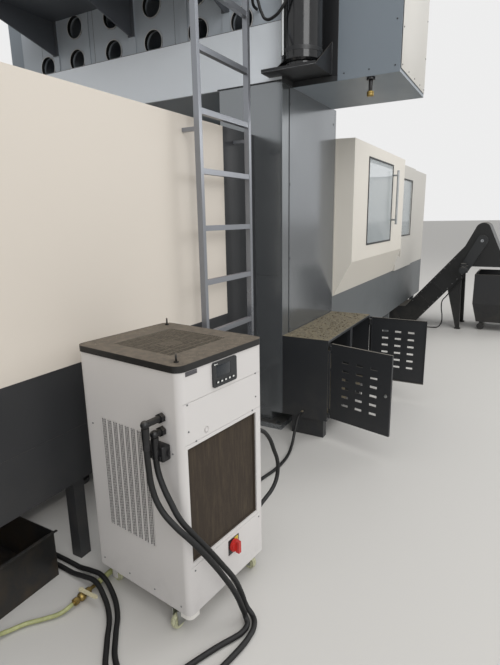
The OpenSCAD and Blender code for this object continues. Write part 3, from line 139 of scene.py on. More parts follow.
def noise(tree, place, size_mm, detail, **more):
    inputs = {"Vector": place, "Scale": per_metre(size_mm), "Detail": detail}
    return add(tree, "ShaderNodeTexNoise", {**inputs, **more}).outputs["Fac"]


def stretched(tree, place, stretch):
    return add(tree, "ShaderNodeMapping", {"Vector": place, "Scale": stretch}).outputs["Vector"]


def spread(tree, value, source, target):
    inputs = {"Value": value, "From Min": source[0], "From Max": source[1], "To Min": target[0],
              "To Max": target[1]}
    return add(tree, "ShaderNodeMapRange", inputs).outputs["Result"]


def maths(tree, operation, first, second):
    return add(tree, "ShaderNodeMath", {0: first, 1: second}, operation=operation).outputs["Value"]


def upward(tree, vector):
    return add(tree, "ShaderNodeSeparateXYZ", {"Vector": vector}).outputs["Z"]


def relief(tree, height, depth, edge=0.0, strength=0.5):
    inputs = {"Height": height, "Strength": strength, "Distance": depth}
    if edge:
        inputs["Normal"] = add(tree, "ShaderNodeBevel", {"Radius": edge}, samples=4).outputs["Normal"]
    return add(tree, "ShaderNodeBump", inputs).outputs["Normal"]


def fresh_material(name):
    material = bpy.data.materials.new(name)
    material.use_nodes = True
    tree = material.node_tree
    return material, tree, tree.nodes["Principled BSDF"]


print("grain of 2 mm is noise scale", per_metre(2))

# %% [markdown]
# Powder coat is paint that was sprayed on as a powder and melted in an oven. It
# has a fine orange-peel skin, a broad sheen and rounded edges. Workshop dust
# settles where a surface faces up, and splashes soil it near the floor. Both
# are laid over the paint by the direction and the height of the surface. The
# grey of the columns holds metal flake, so it mirrors what stands beside it.

# %% Paint with dust and splashes
MIDDLE = (0.3, 0.7)
TONE_MM, DUST_MM, SPLASH_MM = 420, 28, 130
FACES_UP, DUST_PATCH, DUST_ROUGH = (0.55, 0.95), (0.3, 0.62), 0.92
SPLASH_PATCH, SPLASH_ROUGH, SPLASH_LOW = (0.42, 0.68), 0.8, 0.02
PLASTIC_IOR, COAT_ROUGH = 1.5, 0.12


def dusted(tree, place, colour, rough, dust, share):
    normal = add(tree, "ShaderNodeNewGeometry").outputs["Normal"]
    flat = spread(tree, upward(tree, normal), FACES_UP, (0.0, share))
    speck = noise(tree, place, DUST_MM, 8, Roughness=0.7)
    laid = maths(tree, "MULTIPLY", flat, spread(tree, speck, DUST_PATCH, (0.35, 1.0)))
    return mix(tree, laid, colour, linear(dust)), mix(tree, laid, rough, DUST_ROUGH, "FLOAT")


def splashed(tree, place, colour, rough, soil, share, top):
    near_floor = spread(tree, upward(tree, place), (top, SPLASH_LOW), (0.0, share))
    blot = noise(tree, place, SPLASH_MM, 7, Roughness=0.72, Distortion=0.6)
    laid = maths(tree, "MULTIPLY", near_floor, spread(tree, blot, SPLASH_PATCH, (0.05, 1.0)))
    return mix(tree, laid, colour, linear(soil)), mix(tree, laid, rough, SPLASH_ROUGH, "FLOAT")


def paint(name, hex_colour, roughness, peel_mm=3.0, peel_depth=0.00006, dust="#8d8578",
          dust_share=0.0, soil="#3b352d", soil_share=0.0, soil_top=0.6, tone=0.05, coat=0.0,
          edge=0.0015, flake=0.0):
    material, tree, shader = fresh_material(name)
    place = object_place(tree)
    broad = noise(tree, place, TONE_MM, 5)
    base = linear(hex_colour)
    colour = mix(tree, broad, scaled(base, 1 - tone), scaled(base, 1 + tone))
    rough = spread(tree, broad, MIDDLE, (roughness - 0.04, roughness + 0.05))
    if dust_share:
        colour, rough = dusted(tree, place, colour, rough, dust, dust_share)
    if soil_share:
        colour, rough = splashed(tree, place, colour, rough, soil, soil_share, soil_top)
    skin = relief(tree, noise(tree, place, peel_mm, 2), peel_depth, edge)
    plug(tree, shader, {"Base Color": colour, "Roughness": rough, "Normal": skin, "IOR": PLASTIC_IOR,
                        "Metallic": flake, "Coat Weight": coat, "Coat Roughness": COAT_ROUGH})
    return material


print("paint ready")

# %% [markdown]
# The enclosure is beige and white above and dark below. Columns and beam are
# greys, the units around the machine are black, and the chiller is white.

# %% Painted sheet metal
finish = {
    "guard_beige": paint("beige_powder_coat", "#d6cec3", 0.5, dust_share=0.6, tone=0.02),
    "guard_dark": paint("anthracite_powder_coat", "#303133", 0.42, dust_share=0.7, soil_share=0.35,
                        soil="#57524a", soil_top=0.7),
    # The front guard's white is greyed to paint the shade it lies in; the end cover's plate takes the same
    # greyed white.
    "front_guard_white": paint("white_powder_coat_greyed_by_painted_shade", "#c2bfb8", 0.48, dust_share=0.5, tone=0.02),
    "front_guard_grey": paint("grey_powder_coat", "#606466", 0.48, soil_share=0.3),
    "door_cream": paint("cream_powder_coat", "#dcd7cd", 0.45, dust_share=0.4, tone=0.02),
    "bed_casting": paint("machine_enamel_on_casting", "#5d6167", 0.55, peel_mm=9, peel_depth=0.0004,
                         soil_share=0.6, dust_share=0.6),
    "pad_steel": paint("black_oxide_steel", "#303234", 0.5, soil_share=0.5),
    "column_paint": paint("glossy_grey_flake_enamel", "#888c8f", 0.2, peel_mm=14, peel_depth=0.0001,
                          tone=0.03, dust_share=0.5, soil_share=0.25, soil_top=0.5, flake=0.75),
    "column_cover_paint": paint("glossy_grey_flake_enamel_on_sheet", "#888c90", 0.18, peel_mm=16,
                                peel_depth=0.0001, tone=0.02, flake=0.75),
    "beam_paint": paint("pale_blue_grey_enamel", "#b2bac2", 0.42, peel_mm=12, peel_depth=0.0002,
                        tone=0.05, dust_share=0.5),
    "beam_cover_paint": paint("pale_blue_grey_flake_enamel", "#eaf0f6", 0.34, peel_mm=12, tone=0.03,
                              dust_share=0.5, flake=0.12),
    "rim_light": paint("pale_enamel_on_hole_collar", "#d3d2d0", 0.3, tone=0.02),
    "end_cover_paint": paint("blue_grey_enamel_on_sheet", "#79838c", 0.38, coat=0.15, tone=0.04),
    "deck_paint": paint("dark_deck_enamel", "#595d63", 0.55, dust_share=0.7),
    "ladder_paint": paint("grey_ladder_flake_enamel", "#8c8f95", 0.3, peel_mm=6, tone=0.06,
                          dust_share=0.75, dust="#8a8284", flake=0.6),
    "saddle_paint": paint("dark_grey_enamel", "#6f767d", 0.45, dust_share=0.4),
    "cabinet_paint": paint("black_grey_powder_coat", "#26282b", 0.4, dust_share=0.95, dust="#81775f",
                           soil_share=0.25, soil="#57524a", tone=0.08),
    "cabinet_door_paint": paint("black_powder_coat_on_doors", "#26282b", 0.42, dust_share=0.6,
                                tone=0.08, soil_share=0.15, soil="#57524a"),
    "bracket_paint": paint("black_enamel", "#1d1e20", 0.35, dust_share=0.4),
    "conveyor_paint": paint("black_conveyor_enamel", "#121314", 0.42, dust_share=0.35,
                            soil_share=0.4, soil="#4a463f", tone=0.12),
    "motor_paint": paint("black_motor_enamel", "#232527", 0.45, dust_share=0.5),
    "cart_paint": paint("worn_black_enamel", "#212224", 0.5, dust_share=0.7, soil_share=0.5,
                        soil="#4a463f", tone=0.15),
    "tray_steel": paint("oily_black_steel", "#191a1b", 0.3, soil_share=0.5, soil="#4b3d2b", tone=0.2),
    "chiller_white": paint("white_textured_powder_coat", "#d3d0ce", 0.5, peel_mm=2.2,
                           peel_depth=0.0001, tone=0.02, soil_share=0.12, soil_top=0.3, edge=0.003),
    "foot_white": paint("white_enamel_on_folded_foot", "#e4e1dc", 0.45, edge=0.0003, tone=0.02),
    "chiller_top_paint": paint("dusty_black_powder_coat", "#0e0d0c", 0.5, dust_share=0.9,
                               dust="#71675a", tone=0.15, edge=0.002),
    "fitting_black": paint("black_fitting_enamel", "#0e0e10", 0.38, dust_share=0.15, edge=0.001),
}
print("painted finishes:", len(finish))

# %% [markdown]
# Bare metal parts keep their tool marks. Ground iron and brushed sheet carry
# long fine scratches in one direction, and brass dulls in patches.

# %% Bare metal
CLOUD_MM = 60


def metal(name, hex_colour, roughness, stretch=(1, 1, 1), grain_mm=1.5, depth=0.00004, stain=None):
    material, tree, shader = fresh_material(name)
    place = object_place(tree)
    grain = noise(tree, stretched(tree, place, stretch), grain_mm, 3)
    cloud = noise(tree, place, CLOUD_MM, 6)
    base = linear(hex_colour)
    dull = linear(stain) if stain else scaled(base, 0.8)
    colour = mix(tree, spread(tree, cloud, (0.35, 0.7), (0.0, 0.7)), base, dull)
    rough = spread(tree, grain, (0.2, 0.8), (roughness - 0.08, roughness + 0.1))
    skin = relief(tree, grain, depth, edge=0.001)
    plug(tree, shader, {"Base Color": colour, "Roughness": rough, "Normal": skin, "Metallic": 1.0})
    return material


BRUSHED_X, ROLLED_X, GROUND_Y, BRUSHED_Z = (0.05, 1, 1), (0.04, 1, 1), (1, 0.04, 1), (1, 1, 0.05)
finish.update({
    "bright_steel": metal("satin_stainless", "#b5b7b8", 0.3, BRUSHED_Z),
    "ground_iron": metal("ground_cast_iron", "#8c8f92", 0.4, GROUND_Y),
    "cover_sheet": metal("brushed_sheet_steel", "#a3a6a8", 0.35, ROLLED_X),
    "screw_steel": metal("ground_screw_steel", "#a9adb1", 0.25, grain_mm=6, depth=0.0004),
    "ram_iron": metal("scraped_cast_iron", "#7b8085", 0.42, BRUSHED_Z),
    "spindle_steel": metal("hard_ground_steel", "#b9bcc0", 0.2),
    "castor_zinc": metal("zinc_plated_steel", "#b0b3b3", 0.35, grain_mm=4, stain="#8d8c84"),
    "valve_brass": metal("dull_brass", "#a78f55", 0.42, stain="#6d6040"),
    "bolt_zinc": metal("zinc_plated_screw", "#8b8d8e", 0.35, grain_mm=2, stain="#5c5d5d"),
    "bolt_dark": metal("blackened_screw", "#4b4c4e", 0.4, grain_mm=2, stain="#3a3a3b"),
    "plate_grey": metal("bare_anodised_plate", "#6d6c70", 0.4, BRUSHED_X),
    # Also used for painted highlights along the edges of the tank's bracket.
    "worn_edge_and_highlight": metal("worn_steel_and_painted_highlight", "#8f9193", 0.4, stain="#6f6f6e"),
})
print("finishes:", len(finish))

# %% [markdown]
# Rubber hoses, moulded plastic and the dusty filter fleece are all dull, but
# each scatters light at its own scale. The filter is a fine brown weave, and
# the air has drawn its dust into upright streaks.

# %% Rubber, plastic, fleece and glass
FADE = (0.42, 0.66)
STREAK, STREAK_MM, STREAK_FADE = (1, 1, 0.12), 16, (0.45, 0.75)
# At scale 1, a wave texture has 20 / (2 pi) waves in a metre. A thread is half a wave.
HALF_WAVE = 0.157
SMEAR_MM, GLASS_IOR = 150, 1.52


def moulded(name, hex_colour, roughness, grain_mm=1.2, depth=0.00008, stain=None, share=0.25,
            stain_mm=40.0):
    material, tree, shader = fresh_material(name)
    place = object_place(tree)
    grain = noise(tree, place, grain_mm, 4)
    cloud = noise(tree, place, stain_mm, 7, Roughness=0.7)
    base = linear(hex_colour)
    other = linear(stain) if stain else scaled(base, 1.5, 0.01)
    colour = mix(tree, spread(tree, cloud, FADE, (0.0, share)), base, other)
    rough = spread(tree, cloud, MIDDLE, (roughness - 0.05, roughness + 0.1))
    plug(tree, shader, {"Base Color": colour, "Roughness": rough, "IOR": PLASTIC_IOR,
                        "Normal": relief(tree, grain, depth)})
    return material


def fleece(name, thread_hex, gap_hex, dust_hex, pitch_mm):
    material, tree, shader = fresh_material(name)
    place = object_place(tree)
    bands = []
    for direction in ("X", "Z"):
        inputs = {"Vector": place, "Scale": per_metre(pitch_mm) * HALF_WAVE, "Distortion": 1.5, "Detail": 2}
        wave = add(tree, "ShaderNodeTexWave", inputs, wave_type="BANDS", bands_direction=direction)
        bands.append(wave.outputs["Fac"])
    weave = maths(tree, "MAXIMUM", *bands)
    colour = mix(tree, weave, linear(gap_hex), linear(thread_hex))
    streak = noise(tree, stretched(tree, place, STREAK), STREAK_MM, 9, Roughness=0.75)
    colour = mix(tree, spread(tree, streak, STREAK_FADE, (0.0, 0.65)), colour, linear(dust_hex))
    plug(tree, shader, {"Base Color": colour, "Roughness": 0.95,
                        "Normal": relief(tree, weave, 0.0006, strength=0.6)})
    return material


def pane(name, hex_colour, alpha, roughness):
    material, tree, shader = fresh_material(name)
    smear = noise(tree, object_place(tree), SMEAR_MM, 6)
    rough = spread(tree, smear, (0.4, 0.7), (roughness, roughness + 0.12))
    plug(tree, shader, {"Base Color": linear(hex_colour), "Roughness": rough, "Alpha": alpha,
                        "IOR": GLASS_IOR})
    return material


finish.update({
    "tank_gloss": moulded("glossy_black_plastic", "#191a1c", 0.1, grain_mm=20, depth=0.0001),
    "cable_jacket": moulded("black_cable_jacket", "#0a0a0b", 0.55, stain="#161514"),
    "hose_rubber": moulded("black_hose_rubber", "#060607", 0.6, 3.0, 0.0002, stain="#141312"),
    "hose_clear": moulded("aged_clear_hose", "#a8ab78", 0.4, stain="#7f8257", share=0.7),
    "hood_black": moulded("black_moulded_hood", "#0f0f11", 0.34, stain="#2a292c", share=0.4, stain_mm=18),
    # A black that paints the shade on the walls of the beam's holes.
    "gasket_black": moulded("painted_shade_in_beam_holes", "#0b0b0c", 0.8),
    "gasket": moulded("black_rubber_gasket", "#26282a", 0.6),
    # A dark sheet that paints the shade inside the chiller, seen through its holes.
    "punched_dark": moulded("painted_shade_inside_the_chiller", "#151515", 0.8),
    "fan_plastic": moulded("glass_filled_plastic", "#1c1d1f", 0.5, stain="#4a443b", share=0.6),
    "panel_plastic": moulded("panel_membrane", "#1d2023", 0.34),
    "mark_white": moulded("white_print", "#d8dad6", 0.5),
    "knob_red": moulded("red_gloss_plastic", "#c42f2a", 0.3, stain="#8d2420", share=0.3),
    "switch_yellow": moulded("yellow_plastic", "#c9b23a", 0.4, stain="#9a8a35", share=0.3),
    "castor_tread": moulded("polyurethane_tread", "#c2c2a2", 0.42, 2.0, stain="#8a8a6e", share=0.8,
                            stain_mm=12),
    "lever_cream": moulded("pale_vinyl_dip", "#cfc7a8", 0.4, stain="#a79f82", share=0.5, stain_mm=10),
    "dusty_wire": moulded("dusty_wire", "#6d6457", 0.7, stain="#4b443a", share=0.6, stain_mm=15),
    "grit_dark": moulded("oily_swarf", "#695f4f", 0.7, stain="#3f3930", share=0.6, stain_mm=8),
    "grit_light": moulded("dry_grit", "#9a9180", 0.85, stain="#756c5c", share=0.6, stain_mm=8),
    "filter_mesh": fleece("dusty_filter_fleece", "#3b3127", "#1e1812", "#544939", 2.4),
    "window_pane": pane("clear_safety_pane", "#c9d2d6", 0.45, 0.04),
    "display_glass": pane("display_window", "#20262c", 1.0, 0.06),
    "sight_tube": pane("clear_sight_tube", "#dfe3e4", 0.85, 0.08),
})
print("finishes:", len(finish))

# %% [markdown]
# Every solid of the model gets its finish from the material slot that the
# record gives it. The cabinet's doors are cleaner than its top, and the dip
# coat on the valve's lever is pale, so they take finishes of their own.

# %% Finishes on the solids
slot_of = {s["node"]: s["material_slot"] for s in frame["record"]["subparts"]}
own_finish = {"cabinet_door_near": "cabinet_door_paint", "cabinet_door_far": "cabinet_door_paint",
              "valve_lever": "lever_cream"}
for name, solid in nodes.items():
    material = finish[own_finish.get(name, slot_of[name])]
    if not solid.material_slots:
        solid.data.materials.append(material)
    for place in solid.material_slots:
        place.material = material
print("dressed solids:", len(nodes))

# %% [markdown]
# New pieces are built in a bmesh. A block starts from a cube whose edges are
# bevelled, a rod from a cone with two equal radii, and a ring from four loops
# of points. A block's low and high corner come from its three ranges.

# %% Shapes for new pieces
AXIS_X, AXIS_Y, AXIS_Z = Vector((1, 0, 0)), Vector((0, 1, 0)), Vector((0, 0, 1))
SCREW_R, SCREW_H, SCREW_SUNK, SCREW_SLOT = 0.0042, 0.0022, 0.001, 0.0003


def corners(x, y, z):
    return tuple(zip(x, y, z))


def block(bm, low, high, bevel=0.0, segments=2):
    made = bmesh.ops.create_cube(bm, size=1.0)["verts"]
    low, high = Vector(low), Vector(high)
    bmesh.ops.scale(bm, vec=high - low, verts=made)
    bmesh.ops.translate(bm, vec=(low + high) / 2, verts=made)
    if bevel:
        edges = list({e for v in made for e in v.link_edges})
        bmesh.ops.bevel(bm, geom=edges, offset=bevel, segments=segments, profile=0.5,
                        affect="EDGES", material=-1)


def blocks(boxes, bevel=0.0):
    bm = bmesh.new()
    for low, high in boxes:
        block(bm, low, high, bevel)
    return bm


def rod(bm, start, end, radius, sides=24, end_radius=None, bevel=0.0):
    start, end = Vector(start), Vector(end)
    along = end - start
    turned = along.to_track_quat("Z", "Y").to_matrix().to_4x4()
    made = bmesh.ops.create_cone(bm, cap_ends=True, segments=sides, radius1=radius,
                                 radius2=radius if end_radius is None else end_radius,
                                 depth=along.length,
                                 matrix=Matrix.Translation((start + end) / 2) @ turned)["verts"]
    if bevel:
        rims = [e for e in {e for v in made for e in v.link_edges}
                if any(len(f.verts) == sides for f in e.link_faces)]
        bmesh.ops.bevel(bm, geom=rims, offset=bevel, segments=2, profile=0.5, affect="EDGES",
                        material=-1)


def upright(bm, place, low, high, radius, sides=24, bevel=0.0):
    rod(bm, (*place, low), (*place, high), radius, sides, bevel=bevel)


def ring(bm, centre, out, inner, outer, thick, sides=48):
    centre = Vector(centre)
    turned = out.to_track_quat("Z", "Y").to_matrix()
    angles = [2 * math.pi * k / sides for k in range(sides)]
    loops = []
    for radius, lift in ((inner, 0), (inner, thick), (outer, thick), (outer, 0)):
        points = [Vector((radius * math.cos(a), radius * math.sin(a), lift)) for a in angles]
        loops.append([bm.verts.new(centre + turned @ point) for point in points])
    for a, b in zip(loops, loops[1:] + loops[:1]):
        for k in range(sides):
            n = (k + 1) % sides
            bm.faces.new((a[k], b[k], b[n], a[n]))


def screws(bm, places, out, radius=SCREW_R, height=SCREW_H):
    for place in map(Vector, places):
        top = place + out * height
        rod(bm, place - out * SCREW_SUNK, top, radius, 14, end_radius=radius * 0.72)
        rod(bm, top, top + out * SCREW_SLOT, radius * 0.3, 6)


print("shapes ready")

# %% [markdown]
# One function turns a finished bmesh into a piece that rides on a body of the
# model. The chiller stands turned, so its pieces are built in a frame of its
# own: u runs along its front to the right, v to its back, and z up.

# %% Pieces and the chiller's own frame
CHILLER_CORNER, CHILLER_DEGREES = Vector((-2.362, -1.733, 0)), -7
CHILLER_W, CHILLER_D = 0.495, 0.558
CHILLER_PLACE = (Matrix.Translation(CHILLER_CORNER)
                 @ Matrix.Rotation(math.radians(CHILLER_DEGREES), 4, "Z"))


def piece(name, bm, finish_name, body="machine", smooth=40):
    bmesh.ops.recalc_face_normals(bm, faces=bm.faces)
    mesh = bpy.data.meshes.new(name)
    bm.to_mesh(mesh)
    bm.free()
    made = bpy.data.objects.new(name, mesh)
    bpy.context.collection.objects.link(made)
    mesh.materials.append(finish[finish_name])
    mesh.shade_smooth()
    mesh.set_sharp_from_angle(angle=math.radians(smooth))
    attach(made, body)


def chiller_piece(name, bm, finish_name, smooth=40):
    bmesh.ops.transform(bm, matrix=CHILLER_PLACE, verts=bm.verts)
    piece(name, bm, finish_name, smooth=smooth)


print("chiller corner:", tuple(CHILLER_CORNER))

# %% [markdown]
# A hose is one smooth curve through the points where it was laid. A Bezier
# spline with automatic handles passes through each point without a kink. The
# hoses leave the elbows on the chiller's side, fall to the floor, turn in
# front of the chiller and run back under the rear guard to the bed. No handle
# reaches below the floor, so the curve doesn't either.

# %% Cords
FLOOR_GAP = 0.0006
HOSE_R, POWER_R, DRAIN_R, TANK_CABLE_R, CONVEYOR_R = 11, 10, 9, 9, 8


def hose(node, millimetres, radius_mm, finish_name):
    name = node + "_line"
    points = [Vector(p) / 1000 for p in millimetres]
    curve = bpy.data.curves.new(name, "CURVE")
    curve.dimensions = "3D"
    curve.bevel_depth = radius_mm / 1000
    curve.bevel_resolution = 5
    curve.resolution_u = 10
    curve.use_fill_caps = True
    spline = curve.splines.new("BEZIER")
    spline.bezier_points.add(len(points) - 1)
    for knot, point in zip(spline.bezier_points, points):
        knot.co = point
        knot.handle_left_type = knot.handle_right_type = "AUTO"
    curve.materials.append(finish[finish_name])
    made = bpy.data.objects.new(name, curve)
    bpy.context.collection.objects.link(made)
    bpy.context.view_layer.update()
    lowest = radius_mm / 1000 + FLOOR_GAP
    for knot in spline.bezier_points:
        knot.handle_left_type = knot.handle_right_type = "FREE"
        knot.handle_left.z = max(knot.handle_left.z, lowest)
        knot.handle_right.z = max(knot.handle_right.z, lowest)
    bpy.context.view_layer.update()
    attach(made, "machine")
    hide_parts(node)


SUPPLY = [(-2435, -1639, 849.9), (-2435, -1639, 836), (-2436, -1643, 750), (-2436, -1655, 660),
          (-2432, -1685, 590), (-2420, -1733, 532), (-2388, -1780, 465), (-2335, -1819, 363),
          (-2284, -1845, 262), (-2238, -1861, 165), (-2206, -1869, 80), (-2192, -1877, 26),
          (-2206, -1893, 12), (-2248, -1896, 12), (-2290, -1880, 12), (-2335, -1856, 12),
          (-2400, -1826, 12), (-2470, -1797, 12), (-2540, -1768, 12), (-2604, -1712, 12),
          (-2620, -1636, 12), (-2580, -1550, 12), (-2500, -1472, 12), (-2414, -1398, 20),
          (-2350, -1302, 36), (-2316, -1212, 47), (-2304, -1130, 32), (-2296, -1040, 12),
          (-2291, -900, 12), (-2290, -760, 18), (-2290, -660, 50), (-2290, -590, 78),
          (-2290, -556, 80), (-2290, -540.1, 80)]
RETURN = [(-2396, -1644, 799.9), (-2396, -1644, 786), (-2398, -1650, 720), (-2401, -1672, 664),
          (-2401, -1704, 605), (-2394, -1734, 546), (-2366, -1768, 478), (-2320, -1798, 395),
          (-2266, -1824, 298), (-2212, -1843, 200), (-2176, -1852, 110), (-2158, -1864, 38),
          (-2166, -1897, 12), (-2204, -1922, 12), (-2256, -1929, 12), (-2310, -1926, 12),
          (-2366, -1917, 12), (-2420, -1906, 12), (-2500, -1882, 12), (-2586, -1842, 12),
          (-2662, -1774, 12), (-2688, -1676, 12), (-2640, -1566, 12), (-2536, -1462, 12),
          (-2446, -1384, 20), (-2388, -1295, 36), (-2356, -1212, 47), (-2346, -1130, 32),
          (-2338, -1040, 12), (-2332, -900, 12), (-2330, -760, 18), (-2330, -660, 50),
          (-2330, -590, 78), (-2330, -556, 80), (-2330, -540.1, 80)]
POWER_LOOP = [(525.1, 80, 640), (548, 80, 640), (594, 80, 624), (660, 80, 562), (704, 80, 478),
              (734, 80, 408), (738, 80, 362), (722, 80, 309), (686, 82, 272), (640, 86, 250),
              (596, 94, 224), (562, 106, 186), (547, 128, 138), (552, 165, 78), (574, 222, 28),
              (622, 292, 11)]
POWER_RUN = [(-1600, -1478, 11), (-1450, -1438, 11), (-1250, -1430, 11), (-1050, -1458, 11),
             (-880, -1452, 11), (-740, -1425, 32), (-660, -1412, 104), (-612, -1410, 164),
             (-576, -1410, 189), (-562, -1410, 190), (-548.1, -1410, 190)]
DRAIN = [(-2477.1, -1205, 22), (-2496, -1205, 22), (-2526, -1196, 17), (-2574, -1160, 14),
         (-2630, -1112, 14), (-2690, -1084, 18), (-2736, -1070, 32), (-2757, -1056, 47),
         (-2760, -1040, 50), (-2760, -1023.1, 50)]
TANK_CABLE = [(-530, -1385, 3052.1), (-530, -1385, 3074), (-550, -1388, 3112), (-602, -1394, 3120),
              (-656, -1397, 3062), (-682, -1393, 2955), (-686, -1371, 2862), (-682, -1326, 2792),
              (-672, -1262, 2753), (-666, -1207, 2753), (-664, -1174, 2800), (-660, -1146, 2876),
              (-640, -1108, 2934), (-604, -1080, 2922), (-572, -1070, 2889), (-546, -1070, 2880),
              (-524.1, -1070, 2880)]
CONVEYOR_CABLE = [(3596, -2035, 799.9), (3596, -2035, 786), (3602, -2026, 740), (3622, -1970, 664),
                  (3644, -1900, 566), (3652, -1826, 462), (3650, -1782, 400), (3642, -1776, 300),
                  (3634, -1794, 180), (3626, -1790, 80), (3616, -1752, 22), (3608, -1690, 9),
                  (3600, -1590, 9), (3592, -1470, 9), (3584, -1360, 10), (3592, -1270, 26),
                  (3606, -1226, 58), (3618, -1197, 84), (3632, -1190, 90), (3647.9, -1190, 90)]
power_start = [tuple(1000 * (CHILLER_PLACE @ (Vector(p) / 1000))) for p in POWER_LOOP]
hose("supply_hose", SUPPLY, HOSE_R, "hose_rubber")
hose("return_hose", RETURN, HOSE_R, "hose_rubber")
hose("power_cable", power_start + POWER_RUN, POWER_R, "cable_jacket")
hose("drain_hose", DRAIN, DRAIN_R, "hose_clear")
hose("tank_cable", TANK_CABLE, TANK_CABLE_R, "cable_jacket")
hose("conveyor_cable", CONVEYOR_CABLE, CONVEYOR_R, "cable_jacket")

# %% [markdown]
# The chiller's left side is punched with eight strips of small staggered
# holes. A thin sheet with the real holes lies over the slots of the solid, in
# front of a dark backing, which is painted shade for the unlit inside of the
# housing. Each hole has its own wall.

# %% Punched side of the chiller
STRIPS, COLUMNS, ROWS = 8, 3, 66
STRIP_PITCH, HOLE_PITCH_V, HOLE_PITCH_Z = 0.0345, 0.0082, 0.0072
HOLE_R, HOLE_SIDES = 0.0033, 8
PUNCH_V, PUNCH_Z = 0.1722, 0.3390
PUNCH_W, PUNCH_H = STRIPS * STRIP_PITCH, ROWS * HOLE_PITCH_Z
PUNCH_TOP = PUNCH_Z + PUNCH_H
FACE, BACK, HOUSING = -0.0012, -0.0007, -0.0001
HEM = 0.004
SHADE_BACKING = corners((BACK, HOUSING), (PUNCH_V - HEM, PUNCH_V + 0.2705), (PUNCH_Z - 0.003, PUNCH_TOP + 0.003))


def punched_column(bm, v0, z0, rows):
    for row in range(rows):
        v, z = v0 + HOLE_PITCH_V / 2, z0 + (row + 0.5) * HOLE_PITCH_Z
        rim, wall, cell = [], [], []
        for k in range(HOLE_SIDES):
            angle = 2 * math.pi * k / HOLE_SIDES
            c, d = math.cos(angle), math.sin(angle)
            reach = 0.5 / max(abs(c), abs(d))
            rim.append(bm.verts.new((FACE, v + HOLE_R * c, z + HOLE_R * d)))
            wall.append(bm.verts.new((BACK, v + HOLE_R * c, z + HOLE_R * d)))
            cell.append(bm.verts.new((FACE, v + HOLE_PITCH_V * reach * c, z + HOLE_PITCH_Z * reach * d)))
        for k in range(HOLE_SIDES):
            n = (k + 1) % HOLE_SIDES
            bm.faces.new((rim[k], cell[k], cell[n], rim[n]))
            bm.faces.new((wall[k], rim[k], rim[n], wall[n]))


def plain_patch(bm, v_range, z_range):
    block(bm, *corners((FACE, BACK), v_range, z_range))


# The backing is painted shade: a dark sheet where the inside of the housing lies in shade.
chiller_piece("punched_side_shade_backing", blocks([SHADE_BACKING]), "punched_dark")
sheet = bmesh.new()
for strip in range(STRIPS):
    start = PUNCH_V + strip * STRIP_PITCH
    for column in range(COLUMNS):
        staggered = column % 2
        v0 = start + column * HOLE_PITCH_V
        low = PUNCH_Z + staggered * HOLE_PITCH_Z / 2
        punched_column(sheet, v0, low, ROWS - staggered)
        if staggered:
            plain_patch(sheet, (v0, v0 + HOLE_PITCH_V), (PUNCH_Z, low))
            plain_patch(sheet, (v0, v0 + HOLE_PITCH_V), (PUNCH_TOP - HOLE_PITCH_Z / 2, PUNCH_TOP))
    plain_patch(sheet, (start + COLUMNS * HOLE_PITCH_V, start + STRIP_PITCH), (PUNCH_Z, PUNCH_TOP))
bmesh.ops.remove_doubles(sheet, verts=sheet.verts, dist=0.000001)
plain_patch(sheet, (PUNCH_V - HEM, PUNCH_V), (PUNCH_Z - HEM, PUNCH_TOP + HEM))
for low, high in ((PUNCH_Z - HEM, PUNCH_Z), (PUNCH_TOP, PUNCH_TOP + HEM)):
    plain_patch(sheet, (PUNCH_V, PUNCH_V + PUNCH_W), (low, high))
chiller_piece("punched_side", sheet, "chiller_white")
print("punched holes:", STRIPS * (COLUMNS * ROWS - 1))

# %% [markdown]
# The chiller's front carries a display window, lit key marks, a bare plate
# and the coloured backing of the main switch.

# %% Front of the chiller
DISPLAY = corners((0.1925, 0.2755), (-0.0066, -0.0054), (1.0095, 1.0545))
KEYS, KEY_START, KEY_PITCH, KEY_W = 5, 0.1935, 0.023, 0.009
KEY_V, KEY_Z = (-0.0095, -0.0088), (0.9878, 0.9942)
LAMP_U, LAMP_Z, LAMP_V, LAMP_R = 0.184, 1.0615, (-0.0066, -0.0078), 0.0028
LAMP_MARK = corners((0.188, 0.200), (-0.0078, -0.0068), (1.0605, 1.0625))
NAME_PLATE = corners((0.036, 0.094), (-0.0022, -0.0002), (1.0555, 1.0715))
SWITCH_U, SWITCH_Z, SWITCH_HALF = 0.274, 0.250, 0.0345
SWITCH_PLATE = corners((SWITCH_U - SWITCH_HALF, SWITCH_U + SWITCH_HALF), (0.0002, 0.0019),
                       (SWITCH_Z - SWITCH_HALF, SWITCH_Z + SWITCH_HALF))
FIELD_U, FIELD_V, FIELD_GAP, FIELD_REACH = (0.280, 0.303), (-0.0009, 0.0004), 0.001, 0.031
YELLOW_FIELD = corners(FIELD_U, FIELD_V, (SWITCH_Z + FIELD_GAP, SWITCH_Z + FIELD_REACH))
RED_FIELD = corners(FIELD_U, FIELD_V, (SWITCH_Z - FIELD_REACH, SWITCH_Z - FIELD_GAP))

chiller_piece("panel_display", blocks([DISPLAY], bevel=0.0004), "display_glass")
key_places = [KEY_START + k * KEY_PITCH for k in range(KEYS)]
marks = blocks([corners((u, u + KEY_W), KEY_V, KEY_Z) for u in key_places] + [LAMP_MARK], bevel=0.0003)
rod(marks, (LAMP_U, LAMP_V[0], LAMP_Z), (LAMP_U, LAMP_V[1], LAMP_Z), LAMP_R, 16)
chiller_piece("panel_key_marks", marks, "mark_white")
chiller_piece("front_name_plate_bare", blocks([NAME_PLATE], bevel=0.0006), "plate_grey")
chiller_piece("switch_plate", blocks([SWITCH_PLATE], bevel=0.0004), "fitting_black")
chiller_piece("switch_plate_yellow", blocks([YELLOW_FIELD], bevel=0.0003), "switch_yellow")
chiller_piece("switch_plate_red", blocks([RED_FIELD], bevel=0.0003), "knob_red")
print("chiller front dressed")

# %% [markdown]
# Pan-head screws, a socket hood, crimped sleeves on the hoses and a folded
# strip of the base frame under the near corner finish the chiller's sides.

